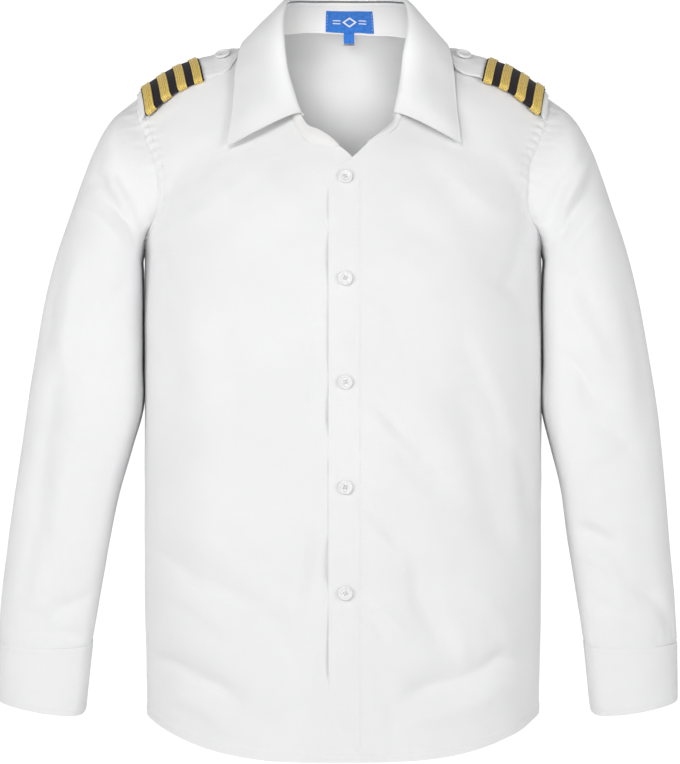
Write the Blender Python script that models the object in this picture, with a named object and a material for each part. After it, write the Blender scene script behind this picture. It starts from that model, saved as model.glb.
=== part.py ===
"""Long-sleeved shirt with shoulder straps and rank sliders, worn shape with nothing inside.

Metres, +Z up, front faces -Y, the wearer's left is +X. The origin lies between the shoulders
at the base of the neck. Sizes below are in millimetres and become metres in make_object.
"""
import math

import bpy
import numpy as np
from mathutils import Vector

MM = 0.001
SIDES = ((1, "left"), (-1, "right"))

# Cloth walls and the gaps between pieces
WALL = 1.2
COLLAR_WALL = 1.4
SEAM_GAP = 0.3
SET_BACK_MAX = 2.3

# Body: ring shape, underarm level, hem
RING_POWER = 2 / 2.3
UNDERARM_Z = -172.0
HEM_CENTRE_Z = -570.0
HEM_RISE = 32.0
HEM_HALF_WIDTH = 156.0
HEM_POWER = 3.2
SIDE_HALF_WIDTH = 158.0

# Front opening: the top layer's edge, the under layer's edge, and how far the top layer stands off
TOP_EDGE_X = -11.3
UNDER_EDGE_X = 13.1
LAP_LIFT = 1.9
LAP_BLEND = (17.0, 52.0)
LAP_END_H = (0.42, 0.56)

# Neck: it sits a little to the wearer's left
NECK_SHIFT = 2.5
NECK_SIDE_ANGLE = {1: 15.74, -1: 14.2}

# Body below the underarm, v from 0 at the underarm to 1 at the hem
BODY_COLUMNS = ("v", "half_width", "front_depth", "back_depth")
BODY_ROWS = (
    (0.00, 158.0, 94.0, 105.0),
    (0.15, 158.3, 98.0, 99.0),
    (0.40, 158.0, 100.0, 89.0),
    (0.57, 158.0, 99.0, 86.0),
    (0.75, 158.0, 97.0, 89.0),
    (1.00, 155.8, 95.0, 95.0),
)

# Body above the underarm, h from 0 at the underarm to 1 at the shoulder ridge
CHEST_COLUMNS = ("h", "half_width")
CHEST_ROWS = ((0.0, 158.0), (0.09, 160.0), (0.25, 163.0), (0.43, 168.0), (0.7, 176.0), (1.0, 185.0))
FRONT_ARCH = 1.5
BACK_ARCH = 2.2
# The front's depth shrinks faster with height near its middle
MIDDLE_FULLNESS = 1.5
SIDE_FULLNESS = 1.0
FULLNESS_BLEND = (50.0, 130.0)

# Shoulder ridge
RIDGE_COLUMNS = ("x", "z")
RIDGE_ROWS = (
    (0, 22.0), (20, 20.0), (40, 12.0), (57, 2.0), (68, -2.6), (82, -8.0), (98, -14.0),
    (112, -20.0), (136, -30.5), (150, -39.5), (165, -49.0), (186, -62.0),
)

# Armhole seam, as the angle round the body at each height
ARMHOLE_COLUMNS = ("h", "front_angle", "back_angle")
ARMHOLE_ROWS = (
    (0.00, 90.0, 90.0), (0.03, 85.0, 85.0), (0.07, 80.0, 80.5), (0.12, 74.5, 76.0),
    (0.18, 67.0, 71.5), (0.30, 60.9, 66.5), (0.50, 58.3, 63.0), (0.66, 60.4, 61.8),
    (0.855, 62.3, 61.2), (1.00, 61.0, 61.0),
)

# Neck edge of each front: the top layer on the wearer's left, the under layer on the right
NECK_LEFT_COLUMNS = ("h", "x")
NECK_LEFT_ROWS = (
    (0.3300, -10.5), (0.3577, 3.5), (0.4440, 22.0), (0.4800, 33.0), (0.5110, 40.0),
    (0.5610, 44.5), (0.7216, 54.0), (0.8806, 59.0), (1.0000, 59.5),
)
NECK_RIGHT_COLUMNS = ("h", "x")
NECK_RIGHT_ROWS = (
    (0.3450, 13.1), (0.3920, 3.5), (0.4125, -1.6), (0.4225, -18.5), (0.4350, -24.3),
    (0.4660, -31.3), (0.5226, -36.8), (0.6785, -48.0), (0.8520, -54.0), (1.0000, -54.5),
)
# Neck edge of the back, as the angle up the arch at each distance from the neck's middle
NECK_BACK_COLUMNS = ("distance", "arch_angle")
NECK_BACK_ROWS = ((0, 66.6), (20, 68.0), (40, 74.0), (50, 79.5), (57, 90.0))
NECK_SEAM_H = {1: 0.418, -1: 0.405}

# Grid lines
HEM_LEVELS = (-1.0, -0.95, -0.86, -0.76, -0.65, -0.54, -0.43, -0.32, -0.21, -0.1)
FRONT_ARCH_ANGLES = (0, 7, 13, 18.5, 22.5, 25.5, 28.5, 31.0, 31.6, 34, 38, 43, 49, 56, 64, 71,
                     77.5, 84, 90)
BACK_ARCH_ANGLES = (0, 2.2, 4.6, 8, 13.5, 22, 33, 45, 57, 66, 73.5, 79, 84.5, 90)
FRONT_CELLS = 10
LAP_CELL_SHARE = 0.08
NECK_CELLS = 8

# Steps for a normal, in degrees round the ring and in level, and the levels it is taken within
ANGLE_STEP = 0.4
LEVEL_STEP = 0.004
NORMAL_LEVELS = (-0.995, 0.985)

# Largest folds: a trough or ridge along a line seen from the front or the back
FOLD_COLUMNS = ("face", "x0", "z0", "x1", "z1", "half_width", "depth")
FOLD_ROWS = (
    ("front", 174, -154, 212, -94, 9, -4.4),
    ("front", 190, -168, 226, -120, 11, 2.6),
    ("front", -170, -150, -198, -114, 8, -3.4),
    ("front", -186, -164, -216, -126, 10, 2.2),
    ("front", 184, -262, 206, -300, 10, -2.4),
    ("front", 186, -394, 216, -408, 9, -3.0),
    ("front", -214, -446, -240, -470, 9, -2.2),
    ("front", 10, -283, 74, -358, 13, -3.0),
    ("front", 12, -364, 60, -432, 14, -2.8),
    ("front", 58, -428, 92, -516, 15, -2.6),
    ("front", 92, -256, 122, -400, 15, -2.8),
    ("front", 44, -520, 148, -484, 13, -3.0),
    ("front", 132, -330, 149, -384, 10, -2.0),
    ("front", -150, -406, -70, -446, 14, -2.6),
    ("front", -150, -490, -82, -520, 12, -2.8),
    ("back", -60, -190, -26, -420, 20, -3.2),
    ("back", 66, -180, 34, -400, 20, -2.8),
    ("back", -128, -250, -70, -350, 15, 2.2),
    ("back", 130, -230, 84, -340, 15, 2.4),
    ("back", 100, -460, 40, -530, 15, -2.0),
    ("back", 188, -160, 216, -110, 10, -3.0),
    ("back", -188, -160, -216, -110, 10, -3.0),
    ("back", -210, -330, -236, -300, 10, -2.2),
    ("back", 206, -350, 232, -316, 10, -2.2),
)

# A fold fades over shares of its length at each end, and where the cloth faces sideways
FOLD_START = (-0.25, 0.3)
FOLD_END = (0.7, 1.25)
FOLD_FACING = (0.1, 0.7)
# The button lap stays flat
FOLD_FREE_X = (24.0, 60.0)

# Sleeve: a ring at each station, from its outer and inner ends, half depth and middle y. The
# skew moves the ring's front and back towards the inner end. The wearer's left sleeve lies
# nearer the body by the last two columns, at its outer and its inner end.
SLEEVE_COLUMNS = ("out_x", "out_z", "in_x", "in_z", "half_depth", "mid_y", "skew", "left_out", "left_in")
SLEEVE_ROWS = (
    (184.0, -66.0, 162.6, -179.0, 49.0, 1.0, 0.00, 0.0, 0.0),
    (197.0, -88.0, 162.8, -185.0, 50.0, 1.0, 0.04, 0.0, 0.0),
    (207.0, -112.0, 162.0, -192.0, 50.0, 1.0, 0.09, 0.4, 0.0),
    (217.0, -140.0, 161.3, -200.0, 49.0, 1.0, 0.14, 0.8, 0.0),
    (228.0, -172.0, 160.4, -212.0, 47.5, 0.5, 0.19, 1.2, 0.0),
    (236.5, -205.0, 160.0, -230.0, 46.0, 0.0, 0.23, 1.4, 0.1),
    (244.0, -245.0, 160.0, -258.0, 44.0, -1.0, 0.25, 1.5, 0.2),
    (252.0, -296.0, 160.6, -298.0, 41.5, -2.0, 0.26, 1.5, 0.9),
    (256.0, -325.0, 169.0, -327.0, 40.0, -3.0, 0.26, 2.5, 2.4),
    (260.5, -358.0, 178.4, -360.0, 38.5, -4.5, 0.26, 3.8, 3.8),
    (266.0, -396.0, 186.4, -399.0, 36.5, -6.0, 0.25, 6.5, 6.5),
    (271.0, -440.0, 194.0, -444.0, 34.0, -8.0, 0.23, 7.4, 7.4),
    (273.5, -481.5, 200.2, -488.5, 31.0, -10.0, 0.20, 7.8, 7.8),
)
# Power of the sine that flattens a sleeve's front and back; 1 would leave an ellipse
SLEEVE_FLATNESS = 0.74
# Each sleeve is in two solids, parted at this row
ELBOW_ROW = 7
CUFF_ROWS = (
    (273.5, -481.5, 200.2, -488.5, 30.6, -10.0, 0.20, 7.8, 7.8),
    (274.2, -504.0, 203.0, -514.5, 29.4, -10.5, 0.18, 7.9, 7.9),
    (274.4, -527.0, 206.2, -540.5, 27.8, -11.0, 0.16, 8.0, 8.0),
)
CUFF_LAP = {"start": 292.0, "overlap": 24.0, "ramp": 34.0, "lift": 2.3}
CUFF_LAP_SETTLED = 4.0
CUFF_CELLS = 26
CUFF_BUTTON_COLUMN = -2

# Collar: the stand's top edge at each fraction along the neck seam from its front end to the
# middle of the back, and the leaf's outer edge on the body
STAND_COLUMNS = ("seam", "x", "y", "z")
STAND_RIGHT_ROWS = (
    (0.000, -3.5, -75.5, -89.0), (0.040, -10.5, -74.5, -83.0), (0.072, -18.0, -72.0, -78.2),
    (0.132, -27.5, -68.0, -74.0), (0.192, -34.0, -63.0, -63.5), (0.261, -38.8, -57.5, -49.0),
    (0.337, -43.3, -50.0, -33.0), (0.419, -46.0, -41.5, -16.0), (0.503, -47.4, -31.5, -0.5),
    (0.566, -47.6, -23.0, 10.5), (0.613, -47.0, -16.0, 18.0), (0.661, -45.5, -7.0, 24.5),
    (0.784, -37.0, 15.5, 30.0), (0.856, -26.0, 26.0, 31.0), (0.926, -13.0, 32.5, 31.6),
    (1.000, 2.5, 35.0, 31.8),
)
STAND_LEFT_ROWS = (
    (0.000, 20.0, -73.0, -86.0), (0.070, 30.0, -67.0, -79.0), (0.152, 40.5, -59.0, -68.0),
    (0.223, 43.5, -55.0, -52.0), (0.302, 46.3, -49.0, -35.5), (0.388, 48.4, -41.0, -18.5),
    (0.475, 51.2, -31.5, -2.0), (0.541, 52.4, -23.0, 8.5), (0.590, 52.3, -16.5, 16.0),
    (0.642, 51.2, -7.5, 23.5), (0.769, 42.5, 15.5, 29.5), (0.845, 31.5, 26.0, 31.0),
    (0.917, 18.5, 32.5, 31.6), (1.000, 2.5, 35.0, 31.8),
)
STAND_ROWS_UP = (0.0, 0.5, 1.0)
STAND_BOW = 1.2

LEAF_COLUMNS = ("seam", "face", "edge_x", "edge_z", "lift", "rise", "turn", "bulge", "reach")
LEAF_RIGHT_ROWS = (
    (0.170, "front", -90.4, -92.5, 3.4, 6.0, 7.0, 9.0, 0.50),
    (0.230, "front", -88.0, -76.0, 3.4, 7.5, 7.5, 11.0, 0.48),
    (0.337, "front", -85.6, -52.0, 3.8, 8.5, 6.0, 12.0, 0.45),
    (0.450, "front", -83.4, -26.5, 5.4, 9.0, 6.0, 12.0, 0.45),
    (0.560, "front", -77.0, -8.5, 5.4, 9.0, 5.0, 12.0, 0.45),
    (0.680, "back", -66.0, -5.5, 3.4, 9.0, 3.0, 12.0, 0.45),
    (0.800, "back", -44.0, -5.0, 3.4, 9.0, 2.0, 13.0, 0.45),
    (0.900, "back", -21.0, -4.0, 3.4, 9.0, 2.0, 13.0, 0.45),
    (1.000, "back", 2.5, -4.0, 3.4, 9.0, 2.0, 13.0, 0.45),
)
LEAF_LEFT_ROWS = (
    (0.152, "front", 91.6, -89.5, 3.4, 6.0, 8.0, 9.0, 0.50),
    (0.230, "front", 90.6, -75.0, 3.4, 7.5, 9.0, 11.0, 0.48),
    (0.337, "front", 89.2, -53.5, 3.8, 8.5, 6.0, 12.0, 0.45),
    (0.450, "front", 86.5, -29.5, 5.4, 9.0, 6.0, 12.0, 0.45),
    (0.560, "front", 80.5, -9.5, 5.4, 9.0, 5.0, 12.0, 0.45),
    (0.680, "back", 70.0, -7.0, 3.4, 9.0, 3.0, 12.0, 0.45),
    (0.800, "back", 49.0, -5.5, 3.4, 9.0, 2.0, 13.0, 0.45),
    (0.900, "back", 26.0, -4.0, 3.4, 9.0, 2.0, 13.0, 0.45),
    (1.000, "back", 2.5, -4.0, 3.4, 9.0, 2.0, 13.0, 0.45),
)
LEAF_START = 1.2
LEAF_END_CELL = 0.012
LEAF_WIDE_CELL = 0.08
LEAF_ROWS_DOWN = (0.0, 0.1, 0.22, 0.36, 0.55, 0.77, 1.0)
BEHIND_Y = 10.0

# Shoulder strap and slider: along is x on the ridge, across is the arc over the ridge,
# minus to the front
STRAP = {"root": 163.6, "shoulder": 92.5, "tip": 83.0, "front": -36.0, "back": 8.0,
         "tip_front": -17.0, "tip_back": -8.0, "wall": 1.8, "skew": 0.142}
STRAP_ACROSS_SHARE = (0.0, 0.17, 0.34, 0.5, 0.66, 0.75, 0.82, 0.91, 1.0)
STRAP_ALONG = (160.7, 152.0, 143.0, 134.0, 125.0, 116.0, 110.0, 104.0, 98.0)
STRAP_LIFT_LOW = 2.3
STRAP_LIFT_HIGH = 3.6
STRAP_RISE = (104.0, 113.0)
STRAP_FALL = (161.0, 163.0)
STRAP_POINT_ROWS = 4
# Arch angles of the section lines that the arc is measured along
RIDGE_FRONT_ARCH = (40.0, 90.0, 60)
RIDGE_BACK_ARCH = (89.5, 60.0, 30)
SLIDER = {"inner": 114.7, "outer": 159.4, "front": -38.4, "back": 10.4, "low": 1.75, "high": 5.45,
          "wall": 0.9, "round": 1.5}
SLIDER_SPAN_POINTS = 8
SLIDER_NOSE_ANGLES = (-50.0, 0.0, 50.0)
SLIDER_ROWS = 6
BAR_COUNT = 4
BAR_LENGTH_SHARE = 0.143
BAR_GAP_SHARE = 0.128
BAR_WALL = 0.8
BAR_LIFT = 6.7
BAR_INSET = 0.8
BAR_POINTS = 8

# Buttons
BUTTON_X = 1.9
BUTTON_Z = (-115.3, -194.5, -275.0, -356.3, -438.3)
BUTTON_RADIUS = 5.6
STRAP_BUTTON_RADIUS = 6.2
CUFF_BUTTON_RADIUS = 5.0
BUTTON_THICK = 2.3
BUTTON_SEAT = 0.35
BUTTON_DISH = {"share": 0.74, "depth": 0.7, "slope": 0.6}
BUTTON_EDGE = {"top": 0.2, "foot": 0.8}
BUTTON_SIDES = 16
STRAP_BUTTON_PLACE = (97.0, -14.0)

# Neck label and size tab
LABEL = {"left": -14.0, "right": 24.7, "low": 0.06, "high": 0.74, "wall": 0.5, "lift": 0.95}
LABEL_POINTS = 9
TAB = {"left": 0.6, "right": 9.2, "drop": 8.6, "wall": 0.5, "gap": 0.3}

# Colours, roughness
WHITE_CLOTH = ("white_poplin", (0.84, 0.84, 0.85), 0.85)
WHITE_BUTTON = ("button_white", (0.88, 0.88, 0.88), 0.35)
DARK_CLOTH = ("slider_black", (0.018, 0.014, 0.022), 0.9)
GOLD_BRAID = ("gold_braid", (0.72, 0.47, 0.08), 0.45)
BLUE_LABEL = ("label_blue", (0.02, 0.18, 0.66), 0.6)


def table(columns, rows, name):
    """One named column of a table."""
    return [row[columns.index(name)] for row in rows]


def smooth(at, rows, values):
    """Cubic through a table's rows, its slopes those of the parabola through three rows."""
    rows = np.asarray(rows, float)
    values = np.asarray(values, float)
    at = np.clip(np.asarray(at, float), rows[0], rows[-1])
    tail = (1,) * (values.ndim - 1)
    step = np.diff(rows).reshape((-1,) + tail)
    rise = np.diff(values, axis=0) / step
    slope = np.empty_like(values)
    slope[0], slope[-1] = rise[0], rise[-1]
    slope[1:-1] = (rise[:-1] * step[1:] + rise[1:] * step[:-1]) / (step[:-1] + step[1:])
    cell = np.clip(np.searchsorted(rows, at, side="right") - 1, 0, len(rows) - 2)
    width = step[cell]
    t = ((at - rows[cell]).reshape(at.shape + tail)) / width
    return (values[cell] * (1 - t) ** 2 * (1 + 2 * t) + values[cell + 1] * t ** 2 * (3 - 2 * t)
            + width * t * (1 - t) * (slope[cell] * (1 - t) - slope[cell + 1] * t))


def ease(value, low, high):
    """0 below low, 1 above high, smooth between."""
    t = np.clip((value - low) / (high - low), 0.0, 1.0)
    return t * t * (3 - 2 * t)


def unit(vectors):
    """Vectors of length 1 in the same directions."""
    return vectors / np.maximum(np.linalg.norm(vectors, axis=-1, keepdims=True), 1e-9)


def ridge_height(x):
    """Height of the shoulder ridge at a distance from the middle."""
    return smooth(np.abs(x), table(RIDGE_COLUMNS, RIDGE_ROWS, "x"),
                  table(RIDGE_COLUMNS, RIDGE_ROWS, "z"))


def chest_half_width(h):
    """Half width of the ring at height fraction h above the underarm."""
    return smooth(h, table(CHEST_COLUMNS, CHEST_ROWS, "h"),
                  table(CHEST_COLUMNS, CHEST_ROWS, "half_width"))


def angle_at(x, half_width):
    """Angle round the ring, in degrees, where its x is the one given."""
    ratio = np.clip(np.abs(x) / half_width, 0, 1) ** (1 / RING_POWER)
    return np.degrees(np.arcsin(ratio)) * np.sign(x)


def arch_height(arch_angle, arch):
    """Height fraction h at an angle up the arch, from 0 at the underarm to 1 at 90 degrees."""
    return np.sin(np.radians(np.clip(arch_angle, 0, 90))) ** (2 / arch)


def body_point(angle, level):
    """Point of the plain body surface.

    angle goes round from the middle of the front, + to the wearer's left. level is minus v
    below the underarm and the arch angle over 90 degrees above it. Each ring is a
    superellipse; above the underarm its depth shrinks to nothing at the shoulder ridge.
    """
    angle, level = np.broadcast_arrays(np.asarray(angle, float), np.asarray(level, float))
    turn = np.radians(angle)
    across = np.sign(np.sin(turn)) * np.abs(np.sin(turn)) ** RING_POWER
    along = np.abs(np.cos(turn)) ** RING_POWER
    front = np.cos(turn) > 0
    arch = np.where(front, FRONT_ARCH, BACK_ARCH)
    v = np.clip(-level, 0, 1)
    rows = table(BODY_COLUMNS, BODY_ROWS, "v")
    low_width = smooth(v, rows, table(BODY_COLUMNS, BODY_ROWS, "half_width"))
    depth = np.where(front, smooth(v, rows, table(BODY_COLUMNS, BODY_ROWS, "front_depth")),
                     smooth(v, rows, table(BODY_COLUMNS, BODY_ROWS, "back_depth")))
    up = np.clip(level, 0, 1) * 90
    h = arch_height(up, arch)
    upper = level > 0
    x = across * np.where(upper, chest_half_width(h), low_width)
    hem = HEM_CENTRE_Z + HEM_RISE * (np.abs(x) / HEM_HALF_WIDTH) ** HEM_POWER
    z = np.where(upper, UNDERARM_Z + (ridge_height(x) - UNDERARM_Z) * h,
                 UNDERARM_Z + (hem - UNDERARM_Z) * v)
    full = MIDDLE_FULLNESS + (SIDE_FULLNESS - MIDDLE_FULLNESS) * ease(np.abs(x), *FULLNESS_BLEND)
    fullness = np.where(front, full, SIDE_FULLNESS)
    shrink = np.where(upper, np.cos(np.radians(up)) ** fullness, 1.0)
    y = np.where(front, -1.0, 1.0) * depth * along * shrink
    return np.stack([x, y, z], axis=-1)


def body_normal(angle, level):
    """Outward normal of the plain body surface, from small steps along both of its lines."""
    angle, level = np.broadcast_arrays(np.asarray(angle, float), np.asarray(level, float))
    level = np.clip(level, *NORMAL_LEVELS)
    round_step = body_point(angle + ANGLE_STEP, level) - body_point(angle - ANGLE_STEP, level)
    up_step = body_point(angle, level + LEVEL_STEP) - body_point(angle, level - LEVEL_STEP)
    return unit(np.cross(round_step, up_step))


def fold_depth(points, normals):
    """How far the folds move each point out along its normal."""
    total = np.zeros(points.shape[:-1])
    for row in FOLD_ROWS:
        fold = dict(zip(FOLD_COLUMNS, row))
        line = np.array([fold["x1"] - fold["x0"], fold["z1"] - fold["z0"]], float)
        length = np.linalg.norm(line)
        line /= length
        dx, dz = points[..., 0] - fold["x0"], points[..., 2] - fold["z0"]
        along = (dx * line[0] + dz * line[1]) / length
        aside = (dz * line[0] - dx * line[1]) / fold["half_width"]
        ends = ease(along, *FOLD_START) * (1 - ease(along, *FOLD_END))
        facing = normals[..., 1] * (-1 if fold["face"] == "front" else 1)
        total += fold["depth"] * np.exp(-aside ** 2) * ends * ease(facing, *FOLD_FACING)
    flat = np.where(normals[..., 1] < 0, ease(np.abs(points[..., 0]), *FOLD_FREE_X), 1.0)
    return total * flat


def folded(points, normals):
    """Points moved along their normals by the folds."""
    return points + normals * fold_depth(points, normals)[..., None]


def grid_normals(points, ring=False):
    """Normals of a grid of points from the differences along its rows and columns."""
    if ring:
        around = np.roll(points, -1, axis=1) - np.roll(points, 1, axis=1)
    else:
        around = np.gradient(points, axis=1)
    return unit(np.cross(around, np.gradient(points, axis=0)))


def inward(normals, loop, towards, closed):
    """Direction across a seam loop into the piece, in the piece's own surface."""
    if closed:
        tangent = np.roll(loop, -1, axis=0) - np.roll(loop, 1, axis=0)
    else:
        tangent = np.gradient(loop, axis=0)
    across = unit(np.cross(normals, tangent))
    side = np.sign(np.sum(across * towards, axis=-1, keepdims=True))
    return across * np.where(side == 0, 1, side)


def set_back(own, other, wall=WALL):
    """How far an edge keeps back from its seam, from the fold between the two walls."""
    cosine = np.clip(np.sum(own * other, axis=-1), -0.999, 1)
    half_turn = np.arccos(cosine) / 2
    return np.minimum(wall / 2 * np.tan(half_turn) + SEAM_GAP / 2, SET_BACK_MAX)[..., None]


def keep_back(panel, edge, beside):
    """Move an edge of a panel's grid half a seam gap towards the line beside it."""
    panel[edge] += unit(panel[beside] - panel[edge]) * SEAM_GAP / 2


def material(finish):
    """Principled material, made once for each finish."""
    name, colour, roughness = finish
    found = bpy.data.materials.get(name)
    if found:
        return found
    made = bpy.data.materials.new(name)
    made.use_nodes = True
    shader = made.node_tree.nodes["Principled BSDF"]
    shader.inputs["Base Color"].default_value = (*colour, 1.0)
    shader.inputs["Roughness"].default_value = roughness
    shader.inputs["Metallic"].default_value = 0.0
    return made


def make_object(name, points, faces, finish):
    """Object from points in millimetres and triangles, its faces pointing out."""
    points = np.asarray(points, float)
    faces = np.asarray(faces, int)
    a, b, c = points[faces[:, 0]], points[faces[:, 1]], points[faces[:, 2]]
    if np.sum(a * np.cross(b, c)) < 0:
        faces = faces[:, ::-1]
    mesh = bpy.data.meshes.new(name)
    mesh.from_pydata((points * MM).tolist(), [], faces.tolist())
    mesh.shade_smooth()
    mesh.set_sharp_from_angle(angle=math.radians(40))
    mesh.materials.append(material(finish))
    made = bpy.data.objects.new(name, mesh)
    bpy.context.scene.collection.objects.link(made)
    return made


def wall_faces(rows, cols, ring):
    """Triangles of a wall: its outer grid, its inner grid and the edges between them."""
    index = np.arange(rows * cols).reshape(rows, cols)
    if ring:
        index = np.concatenate([index, index[:, :1]], axis=1)
    a, b = index[:-1, :-1].ravel(), index[:-1, 1:].ravel()
    c, d = index[1:, 1:].ravel(), index[1:, :-1].ravel()
    outer = np.concatenate([np.stack([a, b, c], 1), np.stack([a, c, d], 1)])
    inner = outer[:, ::-1] + rows * cols
    edges = [index[0, ::-1], index[-1]]
    if not ring:
        edges += [index[:, 0], index[::-1, -1]]
    sides = []
    for edge in edges:
        p, q = edge[:-1], edge[1:]
        under = rows * cols
        sides += [np.stack([p, p + under, q + under], 1), np.stack([p, q + under, q], 1)]
    sides = np.concatenate(sides)
    return np.concatenate([outer, inner, sides[:, ::-1]])


def make_wall(name, points, normals, wall, finish, ring=False):
    """Sheet of even thickness with its middle on a grid of points."""
    rows, cols = points.shape[:2]
    outer = (points + normals * wall / 2).reshape(-1, 3)
    inner = (points - normals * wall / 2).reshape(-1, 3)
    return make_object(name, np.concatenate([outer, inner]), wall_faces(rows, cols, ring), finish)


def neck_x(side, h):
    """x of a front's inner edge at height h: its opening edge, then its neck edge."""
    if side > 0:
        columns, rows = NECK_LEFT_COLUMNS, NECK_LEFT_ROWS
        edge = TOP_EDGE_X
    else:
        columns, rows = NECK_RIGHT_COLUMNS, NECK_RIGHT_ROWS
        edge = UNDER_EDGE_X
    heights = table(columns, rows, "h")
    on_neck = np.interp(h, heights, table(columns, rows, "x"))
    return np.where(h < heights[0], edge, on_neck)


def front_shares():
    """Shares of the way across a front or shoulder, with a narrow first cell for the lap."""
    return np.concatenate([[0], np.linspace(LAP_CELL_SHARE, 1, FRONT_CELLS)])


def front_levels():
    """Levels of the front's rows, hem first."""
    return np.array(HEM_LEVELS + tuple(a / 90 for a in FRONT_ARCH_ANGLES))


def armhole_angle(h, face):
    """Angle round the body of the armhole seam at height h."""
    return np.interp(h, table(ARMHOLE_COLUMNS, ARMHOLE_ROWS, "h"),
                     table(ARMHOLE_COLUMNS, ARMHOLE_ROWS, face + "_angle"))


def lap_lift(x, h):
    """How far the top layer stands off the under layer."""
    return LAP_LIFT * (1 - ease(x, *LAP_BLEND)) * (1 - ease(h, *LAP_END_H))


def front_grid(side):
    """Points and normals of one front, from the hem up and from its opening edge outward."""
    level = front_levels()
    upper = level > 0
    h = np.where(upper, arch_height(level * 90, FRONT_ARCH), 0.0)
    v = np.clip(-level, 0, 1)
    half_width = np.where(upper, chest_half_width(h),
                          smooth(v, table(BODY_COLUMNS, BODY_ROWS, "v"),
                                 table(BODY_COLUMNS, BODY_ROWS, "half_width")))
    start = angle_at(neck_x(side, h), half_width)
    end = side * np.where(upper, armhole_angle(h, "front"), 90.0)
    share = front_shares()
    angle = start[:, None] + (end - start)[:, None] * share
    level_grid = np.broadcast_to(level[:, None], angle.shape)
    normals = body_normal(angle, level_grid)
    points = folded(body_point(angle, level_grid), normals)
    if side > 0:
        points = points + normals * lap_lift(points[..., 0], h[:, None])[..., None]
    return points, normals, h


def back_grid():
    """Points and normals of the back, from the hem up and from the wearer's right to left."""
    level = np.array(HEM_LEVELS + tuple(a / 90 for a in BACK_ARCH_ANGLES))
    upper = level > 0
    h = np.where(upper, arch_height(level * 90, BACK_ARCH), 0.0)
    limit = np.where(upper, armhole_angle(h, "back"), 90.0)[:, None]
    share = front_shares()
    right = NECK_SIDE_ANGLE[-1] + (limit - NECK_SIDE_ANGLE[-1]) * share[::-1]
    left = NECK_SIDE_ANGLE[1] + (limit - NECK_SIDE_ANGLE[1]) * share
    neck = np.linspace(-NECK_SIDE_ANGLE[-1], NECK_SIDE_ANGLE[1], NECK_CELLS + 1)[1:-1]
    neck = np.broadcast_to(neck, (len(level), NECK_CELLS - 1))
    turned = np.concatenate([-right, neck, left], axis=1)
    top_x = body_point(180 - turned[-1], 1.0)[:, 0]
    top = np.interp(np.abs(top_x - NECK_SHIFT), table(NECK_BACK_COLUMNS, NECK_BACK_ROWS, "distance"),
                    table(NECK_BACK_COLUMNS, NECK_BACK_ROWS, "arch_angle")) / 90
    level_grid = level[:, None] * np.where(level[:, None] > 0, top, 1.0)
    normals = body_normal(180 - turned, level_grid)
    return folded(body_point(180 - turned, level_grid), normals), normals, h


def ring_at(rows, side, turn):
    """Rings of the sleeve or cuff at angles round it: 0 outside, 90 front, 180 inside."""
    data = {name: np.array(table(SLEEVE_COLUMNS, rows, name))[:, None] for name in SLEEVE_COLUMNS}
    left = 1.0 if side > 0 else 0.0
    out_x, in_x = data["out_x"] - left * data["left_out"], data["in_x"] - left * data["left_in"]
    turn = np.radians(turn)[None, :]
    depth = np.sin(turn)
    swing = np.cos(turn) - data["skew"] * depth ** 2
    x = side * ((out_x + in_x) / 2 + (out_x - in_x) / 2 * swing)
    z = (data["out_z"] + data["in_z"]) / 2 + (data["out_z"] - data["in_z"]) / 2 * swing
    y = data["mid_y"] - data["half_depth"] * np.sign(depth) * np.abs(depth) ** SLEEVE_FLATNESS
    return np.stack([x, y, z + 0 * x], axis=-1)


def arm_loop(front, back):
    """Armhole seam from the shoulder down the front to the underarm and up the back."""
    down = front[0][len(HEM_LEVELS):, -1][::-1]
    up = back[len(HEM_LEVELS):][1:-1]
    return np.concatenate([down, up])


def loop_turn(loop, under):
    """Angle round the sleeve for each point of the armhole seam, by its share of the length."""
    step = np.linalg.norm(np.diff(np.concatenate([loop, loop[:1]]), axis=0), axis=1)
    length = np.concatenate([[0], np.cumsum(step)])
    first, total = length[under], length[-1]
    at = length[:-1]
    return np.where(at <= first, 180 * at / first, 180 + 180 * (at - first) / (total - first))


def sleeve_grid(side, loop, under):
    """Points and normals of a sleeve: the armhole seam, then its rings."""
    turn = loop_turn(loop, under)
    rings = ring_at(SLEEVE_ROWS, side, turn)
    points = np.concatenate([loop[None], rings])
    normals = sleeve_normals(points)
    points[1:] = folded(points[1:], normals[1:])
    return points, sleeve_normals(points)


def sleeve_normals(points):
    """Outward normals of a sleeve's grid."""
    normals = grid_normals(points, ring=True)
    middle = points.mean(axis=1, keepdims=True)
    return normals * np.sign(np.sum((points - middle)[3:-1] * normals[3:-1]))


def cuff_grid(side):
    """Points and normals of a cuff, a band that goes once round and laps over its own start."""
    lap = CUFF_LAP
    turn = np.linspace(lap["start"], lap["start"] + 360 + lap["overlap"], CUFF_CELLS + 1)
    points = ring_at(CUFF_ROWS, side, turn)
    plain = ring_at(CUFF_ROWS, side, turn + 1) - ring_at(CUFF_ROWS, side, turn - 1)
    normals = unit(np.cross(plain, np.gradient(points, axis=0)))
    middle = ring_at(CUFF_ROWS, side, np.linspace(0, 345, 24)).mean(axis=1, keepdims=True)
    if np.sum((points - middle) * normals) < 0:
        normals = -normals
    last = lap["start"] + 360
    lift = lap["lift"] * ease(turn, last - lap["ramp"], last - CUFF_LAP_SETTLED)
    return points + normals * lift[None, :, None], normals


def neck_loop(right, left, back):
    """Neck seam from the right front's end round the back to the left front's end."""
    start_right = np.argmax(right[2] > NECK_SEAM_H[-1])
    start_left = np.argmax(left[2] > NECK_SEAM_H[1])
    neck = slice(FRONT_CELLS + 1, FRONT_CELLS + NECK_CELLS)
    loop = np.concatenate([right[0][start_right:, 0], back[0][-1, neck],
                           left[0][start_left:, 0][::-1]])
    return loop, start_right, start_left


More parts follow.
